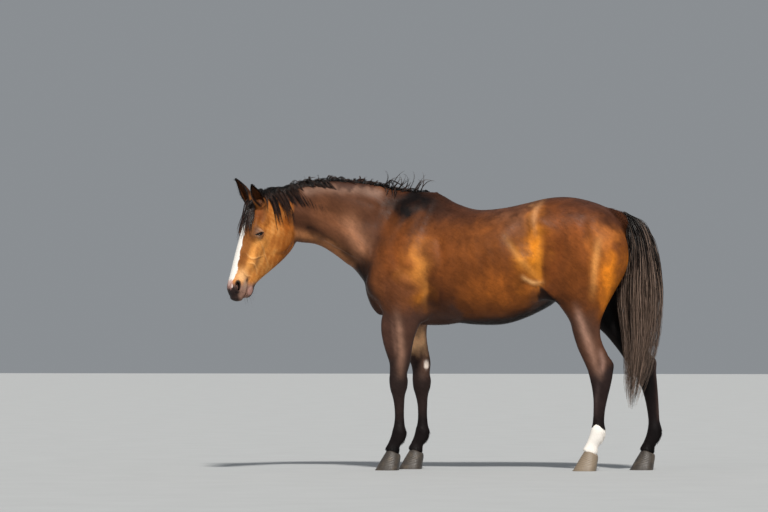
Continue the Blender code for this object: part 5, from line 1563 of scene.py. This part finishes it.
def whisker_guides(seed):
    """Single stiff feelers on the lips and the chin."""
    rng = np.random.default_rng(seed)
    chin = [spot(rng.uniform(57, 65), rng.uniform(-4, -2), rng.uniform(-3, 3))
            for _ in range(22)]
    lip = [spot(rng.uniform(60, 66), rng.uniform(1, 8), rng.choice([-1, 1]) * rng.uniform(2, 5))
           for _ in range(22)]
    start = settle(skin_field, np.array(chin + lip), 4)
    out = slope_of(skin_field, start)
    way = out + rng.normal(0, 0.15, out.shape)
    long = rng.uniform(0.012, 0.045, len(start))
    t = np.linspace(0, 1, 8)[:, None]
    lines = start[:, None] + long[:, None, None] * (way[:, None] * t
                                                    - np.array([0.0, 0.0, 0.35]) * t * t)
    return lines - out[:, None] * 0.001, start


def tail_guides(seed, count, fullness):
    """Down the dock, then hanging within the outline of the tail."""
    rng = np.random.default_rng(seed)
    body = Loft([r[:4] + (0, r[4], 2, 2, 0.5) for r in TAIL], 0.01, 0.01, 0.02)
    steps = 22
    last = len(body.centre) - 1
    angle, out = rng.uniform(0, 2 * math.pi, count), fullness * np.sqrt(rng.random(count))
    u, v = out * np.cos(angle), out * np.sin(angle)
    first = rng.uniform(0.0, 0.22, count)
    final = np.clip(rng.normal(0.86, 0.13, count), 0.5, 1.0) - 0.06 * (out > 0.85)
    lines = []
    phase = rng.uniform(0, 6.3, count)
    for k in range(steps):
        t = k / (steps - 1)
        s = (first + (final - first) * t) * last
        i = np.clip(s.astype(int), 0, last - 1)
        w = s - i

        def at(values):
            return (values[i].T * (1 - w) + values[i + 1].T * w).T

        open_ = smooth_step(np.full(count, t / 0.16)) * 0.75 + 0.25
        sway = 0.05 * np.sin(phase + 5.0 * t) * smooth_step(np.full(count, t * 2))
        deep = at(body.rise) * (v * open_ + sway)
        p = at(body.centre) + at(body.up) * deep[:, None]
        p[:, 1] += at(body.half) * (u * open_ + sway)
        lines.append(p)
    lines = np.stack(lines, 1)
    return lines, lines[:, 0]


def hair_material(name, root, tip, pale, tip_from, tip_to):
    """Horsehair: coarse black hair, smooth and waxy, bleached browner towards its end."""
    mat, tree, shader = surface(name, Roughness=0.42, IOR=1.55, Specular_IOR_Level=0.30)
    along = attribute(tree, "along").outputs["Fac"]
    tone = attribute(tree, "tone").outputs["Fac"]
    base = tinted(tree, ramp(tree, along, tip_from, tip_to), rgb(root), rgb(tip))
    base = tinted(tree, maths(tree, "MULTIPLY", ramp(tree, tone, 0.45, 0.95, 0.0, 0.95),
                              ramp(tree, along, 0.04, 0.40)), base, rgb(pale))
    feed(tree, shader, Base_Color=base, Roughness=ramp(tree, tone, 0.0, 1.0, 0.32, 0.46))
    return mat


# ---- eyes and hooves -------------------------------------------------------------------------

def eye_frame(side):
    """The same where the head has swung to."""
    centre, axes = eye_axes(side)
    turned = [bend_way(centre[None], way[None])[0] for way in axes]
    return settled(centre[None])[0], np.array(turned)


def eye_material():
    """Wet cornea over a dark brown iris with a wide level pupil."""
    mat, tree, shader = surface("wet eye", Roughness=0.05, IOR=1.38, Coat_Weight=0.35,
                                Coat_Roughness=0.02, Specular_IOR_Level=0.3)
    local = attribute(tree, "place").outputs["Vector"]
    t, v, _ = add(tree, "ShaderNodeSeparateXYZ", {0: local}).outputs

    def out_from_middle(along, across):
        flat = add(tree, "ShaderNodeCombineXYZ", {0: maths(tree, "MULTIPLY", t, along),
                                                  1: maths(tree, "MULTIPLY", v, across)})
        return add(tree, "ShaderNodeVectorMath", {0: flat.outputs[0]},
                   operation="LENGTH").outputs["Value"]

    pupil, iris = out_from_middle(2.4, 4.6), out_from_middle(1.0, 1.0)
    fibres = tinted(tree, noise(tree, local, 9.0, 4), rgb("#180C06"), rgb("#371F0F"))
    base = tinted(tree, ramp(tree, pupil, 0.85, 1.1), rgb("#040406"), fibres)
    base = tinted(tree, ramp(tree, iris, 0.72, 0.84), base, rgb("#150D0A"))
    feed(tree, shader, Base_Color=base)
    return mat


def make_eye(name, side, mat):
    centre, axes = eye_frame(side)
    bm = bmesh.new()
    bmesh.ops.create_uvsphere(bm, u_segments=48, v_segments=32, radius=1.0)
    local = np.array([v.co for v in bm.verts])
    faces = [[v.index for v in f.verts] for f in bm.faces]
    bm.free()
    if np.linalg.det(axes) < 0:
        faces = [f[::-1] for f in faces]
    bulge = 1 + 0.035 * smooth_step((local[:, 2] - 0.70) / 0.25)     # cornea
    points = centre + (local * (EYE_LONG, 1, 1) * bulge[:, None] * (EYE_RADIUS - 0.0006)) @ axes
    eye = mesh_piece(name + "_ball", points, faces, mat)
    store(eye.data, "place", local, "FLOAT_VECTOR")
    return eye


def rim_material():
    """Hairless lid margin, black and moist."""
    mat, tree, shader = surface("moist black lid margin", Roughness=0.22, IOR=1.4,
                                Specular_IOR_Level=0.6)
    place = add(tree, "ShaderNodeTexCoord").outputs["Object"]
    base = tinted(tree, noise(tree, place, 420.0, 3), rgb("#0B090A"), rgb("#262022"))
    feed(tree, shader, Base_Color=base)
    return mat


LASH_SPHERE, RIM_SPHERE, RIM_THICK = 0.0222, 0.0219, 0.0015    # radii about the eye, of the rim


def lid_line(side, count, radius):
    """Closed line round the gap between the lids, and the axes of the eye."""
    centre, axes = eye_frame(side)
    turn = np.linspace(0, 2 * math.pi, count, endpoint=False)
    t, s = np.cos(turn), np.sin(turn)
    v = np.where(s > 0, LID_ABOVE, LID_BELOW) * np.sign(s) * (1 - t * t)
    flat = np.column_stack([t * LID_HALF * 0.97, v])
    out = np.sqrt(np.maximum(radius ** 2 - (flat ** 2).sum(1), 0.012 ** 2))
    return centre + np.column_stack([flat, out]) @ axes, axes


def make_rim(name, side, mat):
    line, axes = lid_line(side, 56, RIM_SPHERE)
    count, ring = len(line), 8
    points, faces = [], []
    for i in range(count):
        run = line[(i + 1) % count] - line[i - 1]
        run /= np.linalg.norm(run)
        u = np.cross(run, axes[2])
        u /= np.linalg.norm(u)
        w = np.cross(run, u)
        for k in range(ring):
            a = 2 * math.pi * k / ring
            points.append(line[i] + RIM_THICK * (u * math.cos(a) + w * math.sin(a)))
    for i in range(count):
        j = (i + 1) % count
        for k in range(ring):
            m = (k + 1) % ring
            faces.append((i * ring + k, i * ring + m, j * ring + m, j * ring + k))
    rim = mesh_piece(name + "_lid_margin", points, faces, mat)
    outward(rim.data)
    return rim


def outward(mesh):
    """Turns the faces to the outside."""
    bm = bmesh.new()
    bm.from_mesh(mesh)
    bmesh.ops.recalc_face_normals(bm, faces=bm.faces[:])
    bm.to_mesh(mesh)
    bm.free()


def hoof_material(name, dark, light):
    """Horn: smooth hard keratin, with growth rings 6 mm apart and fine upright tubules."""
    mat, tree, shader = surface(name, Roughness=0.45, IOR=1.54)
    place = add(tree, "ShaderNodeTexCoord").outputs["Object"]
    upright = add(tree, "ShaderNodeMapping", {0: place, 3: (380, 380, 26)}).outputs[0]
    fibre = noise(tree, upright, 1.0, 3)
    ring = attribute(tree, "grown").outputs["Fac"]
    wobble = maths(tree, "ADD", ring, maths(tree, "MULTIPLY", noise(tree, place, 30.0), 0.35))
    rings = maths(tree, "SINE", maths(tree, "MULTIPLY", wobble, 2 * math.pi), 0.0)
    base = tinted(tree, fibre, rgb(dark), rgb(light))
    base = tinted(tree, ramp(tree, rings, -0.5, 1.0, 0.0, 0.25), base, rgb("#0D0B0A"))
    dusty = ramp(tree, noise(tree, place, 22.0, 4), 0.45, 0.75, 0.0, 0.35)
    base = tinted(tree, dusty, base, rgb("#7A6B58"))
    height = maths(tree, "ADD", rings, fibre)
    bump = add(tree, "ShaderNodeBump", {"Strength": 0.5, "Distance": 0.0006, "Height": height})
    feed(tree, shader, Base_Color=base, Roughness=ramp(tree, fibre, 0.3, 0.7, 0.38, 0.58),
         Normal=bump.outputs[0])
    return mat


def make_hoof(name, toe, y, mat):
    """Wall from the ground up to the coronet, in rings; flat sole with a small bevel."""
    form, sign = hoof(toe, y), -1 if "left" in name else 1
    n, rings = 64, 26
    around = np.linspace(0, 2 * math.pi, n, endpoint=False)
    level = form.centre[:, 2] - form.up[:, 2] * form.fall
    first = int(np.argmin(np.abs(level)))
    rows = []
    for k, s in enumerate(np.linspace(first, len(form.centre) - 1, rings)):
        i = min(int(s), len(form.centre) - 2)
        w = s - i

        def at(values):
            return values[i] * (1 - w) + values[i + 1] * w

        c, sn = np.cos(around), np.sin(around)
        e = np.where(sn > 0, at(form.e_up), at(form.e_down))
        u = np.sign(c) * np.abs(c) ** (2 / e) * at(form.half)
        v = np.sign(sn) * np.abs(sn) ** (2 / e) * np.where(sn > 0, at(form.rise), at(form.fall))
        ring = 1 - 0.010 * (0.5 + 0.5 * math.sin(k * 1.9)) * (0 < k < rings - 1)
        centre = at(form.centre)
        row = centre + v[:, None] * ring * at(form.up)
        row[:, 1] = sign * (centre[1] + u * ring)
        rows.append(row)
    low = rows[0].copy()
    low[:, :2] = low[:, :2].mean(0) + (low[:, :2] - low[:, :2].mean(0)) * 0.965
    low[:, 2] = 0.0
    rows[0][:, 2] = np.maximum(rows[0][:, 2], 0.0) + 0.0025
    top = rows[-1].copy()
    top = top.mean(0) + (top - top.mean(0)) * 0.80 + np.array([0.004, 0, 0.006])
    rows = [low] + rows + [top]
    points = np.concatenate(rows)
    points[:, 2] = np.maximum(points[:, 2], 0.0)
    count = len(rows)
    faces = [(r * n + k, r * n + (k + 1) % n, (r + 1) * n + (k + 1) % n, (r + 1) * n + k)
             for r in range(count - 1) for k in range(n)]
    faces += [tuple(range(n))[::-1], tuple((count - 1) * n + k for k in range(n))]
    piece = mesh_piece(name + "_horn", points - np.array(ORIGIN), faces, mat)
    store(piece.data, "grown", np.repeat(np.arange(count) * 0.62, n))
    outward(piece.data)
    return piece


# ---- camera, floor and light ---------------------------------------------------------------

CAMERA_AWAY, CAMERA_ASIDE, CAMERA_HIGH = 24.4, -0.3406, 0.77
FLOOR_HALF = 60.0
SUNS = (     # azimuth from -Y, height, strength, spread in degrees
    ("key", 16, 47, 3.8, 6), ("fill", -50, 30, 0.25, 40))


def make_stage():
    """Camera far out on her left, a little behind; pale floor; two suns and a soft sky."""
    turn, lean = math.radians(8.0), math.radians(1.06)
    right = Vector((math.cos(turn), math.sin(turn), 0))
    ahead = Vector((-math.sin(turn), math.cos(turn), 0))
    camera = bpy.data.objects.new("camera", bpy.data.cameras.new("camera"))
    camera.data.lens, camera.data.sensor_width = 200, 36
    camera.data.clip_end = 200
    camera.location = (right * CAMERA_ASIDE - ahead * CAMERA_AWAY
                       + Vector((0, 0, CAMERA_HIGH)) - ORIGIN)
    look = ahead * math.cos(lean) + Vector((0, 0, math.sin(lean)))
    camera.rotation_euler = look.to_track_quat("-Z", "Y").to_euler()
    root_collection.objects.link(camera)
    bpy.context.scene.camera = camera

    mat, tree, shader = surface("pale floor paint", Roughness=0.8)
    spots = noise(tree, add(tree, "ShaderNodeTexCoord").outputs["Object"], 3.0)
    feed(tree, shader, Base_Color=tinted(tree, spots, rgb("#AEB1B3"), rgb("#B8BBBD")))
    corners = [(FLOOR_HALF * i, FLOOR_HALF * j, 0) for i, j in ((-1, -1), (1, -1), (1, 1), (-1, 1))]
    floor = mesh_piece("floor", corners, [(0, 1, 2, 3)], mat, False)

    world = bpy.data.worlds.new("soft room")
    world.use_nodes = True
    sky = world.node_tree.nodes["Background"]
    sky.inputs[0].default_value = rgb("#D6DCE2")
    sky.inputs[1].default_value = 0.38
    bpy.context.scene.world = world
    bpy.context.scene.view_settings.view_transform = "Standard"
    for name, azimuth, height, strength, spread in SUNS:
        sun = bpy.data.lights.new(name, "SUN")
        sun.energy, sun.angle = strength, math.radians(spread)
        sun.color = (1.0, 0.955, 0.89)
        ob = bpy.data.objects.new(name, sun)
        az, el = math.radians(azimuth), math.radians(height)
        way = Vector((math.sin(az) * math.cos(el), -math.cos(az) * math.cos(el), math.sin(el)))
        ob.rotation_euler = (-way).to_track_quat("-Z", "Y").to_euler()
        root_collection.objects.link(ob)


def tuft_source(name, rest, quads, share, length, lie):
    """The part of the skin that carries these tufts, with what the tree asks for."""
    quads = quads[share[quads].max(1) > 0.01]
    used, quads = np.unique(quads, return_inverse=True)
    mesh = bpy.data.meshes.new(name)
    mesh.from_pydata(settled(rest[used]).tolist(), [], quads.reshape(-1, 4).tolist())
    store_marks(mesh, rest[used])
    store(mesh, "density", share[used])
    store(mesh, "length", length[used])
    store(mesh, "lie", bend_way(rest[used], lie[used]), "FLOAT_VECTOR")
    store(mesh, "root", flat_place(rest[used]), "FLOAT_VECTOR")
    return mesh


def coat_zones(rest, normals):
    """Where each kind of tuft grows, how long it is in metres, and how it lies."""
    x, y, z = rest.T
    a, n, _ = head_place(rest)
    head = past(ahead_of_cheek(x, z), 0.06)
    neck = past(-0.40 - x, 0.10) * (1 - head)
    leg = past(0.80 - z, 0.10)
    trunk = (1 - head) * (1 - neck) * (1 - leg)
    belly = np.interp(x, [-0.3, 0.2, 0.4, 0.65], [0.90, 0.865, 0.880, 0.985])
    lie = lie_of_coat(rest, normals)
    short = np.full(len(rest), 0.010)
    fetlock = leg * smooth_step((normals[:, 0] - 0.25) / 0.3) * smooth_step((z - 0.115) / 0.02) \
        * smooth_step((0.255 - z) / 0.03)
    coronet = smooth_step((0.135 - z) / 0.015)
    shank = 0.006 + 0.018 * fetlock + 0.008 * coronet
    edge = np.zeros(len(rest))
    fringe = np.full(len(rest), 0.010)
    away = lie.copy()
    for form in EAR_FORMS:
        near, within, rim = form.parts_of(rest)
        cup = near * np.maximum(within * 0.8, smooth_step((0.005 - rim) / 0.003))
        edge = np.maximum(edge, cup)
        fringe = np.where(cup > 0.05, 0.013, fringe)
        way = form.o * 0.8 + form.t * 0.9
        away = np.where(cup[:, None] > 0.05, way / np.linalg.norm(way), away)
    jaw = head * smooth_step((-13.0 - n) / 2) * smooth_step((a - 22) / 8)
    chin = head * smooth_step((a - 57) / 3) * smooth_step((-1.0 - n) / 1.5)
    line = smooth_step((belly + 0.012 - z) / 0.02) * smooth_step((0.11 - np.abs(y)) / 0.03) \
        * trunk * (x < 0.62)
    dock = smooth_step((x - 0.93) / 0.03) * smooth_step((z - 1.37) / 0.03) \
        * smooth_step((0.085 - np.abs(y)) / 0.02)
    for part, size in ((jaw, 0.004), (chin, 0.007), (line, 0.012), (dock, 0.030)):
        edge = np.maximum(edge, part)
        fringe = np.where(part > 0.3, size, fringe)
    small = np.where(a > 50, 0.0035, 0.005)
    return (("near_side_tufts", trunk * (y < 0), short, lie, "trunk"),
            ("far_side_tufts", trunk * (y >= 0), short, lie, "trunk"),
            ("neck_tufts", neck, short * 0.9, lie, "neck"),
            ("head_tufts", head * (1 - edge), small, lie, "head"),
            ("leg_tufts", leg * (0.25 + 1.6 * fetlock + 2.4 * coronet), shank, lie,
             "foreleg_left"),
            ("edge_tufts", edge, fringe, away, "head"))


LOCK_SEED, TUFT_SEED = 20, 60
FLESH = ["trunk", "neck", "head", "ear_left", "ear_right", "foreleg_left", "foreleg_right",
         "hindleg_left", "hindleg_right"]

make_stage()
COAT = coat_material("short bay coat", 0.0011)
skin, skin_rest, skin_quads = make_skin(COAT)
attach(skin, "root")
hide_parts(*FLESH)

RIM, EYE = rim_material(), eye_material()
for node, side in EYES:
    eye = make_eye(node, side, EYE)
    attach(eye, "root")
    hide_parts(node)
    rim = make_rim(node, side, RIM)
    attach(rim, "root")

DARK_HORN = hoof_material("dark hoof horn", "#2A2522", "#4A423B")
PALE_HORN = hoof_material("pale hoof horn", "#6E5F4F", "#A08F7A")
for node, toe in TOE.items():
    across = STANCE_FORE if "fore" in node else STANCE_HIND
    horn = PALE_HORN if node == "hoof_hind_left" else DARK_HORN
    piece = make_hoof(node, toe, across, horn)
    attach(piece, "root")
    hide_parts(node)

LOCKS, TUFTS = lock_tree(), tuft_tree()
MANE_HAIR = hair_material("black mane hair", "#0A0808", "#1E1514", "#54392E", 0.4, 1.0)
TAIL_HAIR = hair_material("sun browned tail hair", "#14100F", "#3F322A", "#A88E7E", 0.20, 0.70)
LOCK_INPUTS = ("Hairs", "Steps", "Spread", "Clump", "Frizz", "Radius", "Shortest")
LONG_HAIR = (     # name, node, guide lines and roots, hair, then as LOCK_INPUTS
    ("mane_locks", "mane", mane_guides(3), MANE_HAIR, 9, 11, 0.0075, 0.75, 0.020, 0.0012, 0.6),
    ("mane_wisps", "mane", wisp_guides(5), MANE_HAIR, 7, 14, 0.0040, 0.65, 0.012, 0.0009, 0.55),
    ("forelock_locks", "forelock", forelock_guides(8), MANE_HAIR,
     16, 12, 0.0050, 0.70, 0.014, 0.0010, 0.6),
    ("tail_locks", "tail", tail_guides(11, 150, 1.0), TAIL_HAIR,
     13, 16, 0.0150, 0.62, 0.034, 0.0012, 0.60),
    ("tail_inner_locks", "tail", tail_guides(12, 60, 0.55), TAIL_HAIR,
     14, 14, 0.0140, 0.60, 0.030, 0.0018, 0.70),
    *((node + "_lashes", node, lash_guides(side), MANE_HAIR,
       3, 7, 0.0010, 0.3, 0.002, 0.00030, 0.6) for node, side in EYES),
    ("muzzle_whiskers", "head", whisker_guides(9), MANE_HAIR,
     1, 8, 0.0, 0.0, 0.006, 0.00030, 0.9),
)
for number, (name, node, (lines, roots), mat, *sizes) in enumerate(LONG_HAIR):
    piece = grown(name, guide_mesh(name, lines, roots), LOCKS, Seed=LOCK_SEED + number, Hair=mat,
                  **dict(zip(LOCK_INPUTS, sizes)))
    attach(piece, "root")
    if node in ("mane", "forelock", "tail"):
        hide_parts(node)

TUFT_HAIR = coat_material("tufts of bay coat", 0.0)
TUFT_SIZES = {    # tufts to the square metre, width, lift off the skin, joints
    "near_side_tufts": (11000, 0.0024, 0.04, 1), "far_side_tufts": (11000, 0.0024, 0.04, 1),
    "neck_tufts": (14000, 0.0019, 0.03, 1), "head_tufts": (38000, 0.0013, 0.05, 1),
    "leg_tufts": (24000, 0.0016, 0.10, 2), "edge_tufts": (42000, 0.0012, 0.22, 2),
}
zones = coat_zones(skin_rest, vertex_normals(skin_rest, skin_quads))
for number, (name, share, length, lie, node) in enumerate(zones):
    density, width, lift, joints = TUFT_SIZES[name]
    source = tuft_source(name, skin_rest, skin_quads, share, length, lie)
    piece = grown(name, source, TUFTS, Density=float(density), Length=1.0, Width=width,
                  Lift=lift, Joints=joints, Seed=TUFT_SEED + number, Hair=TUFT_HAIR)
    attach(piece, "root")
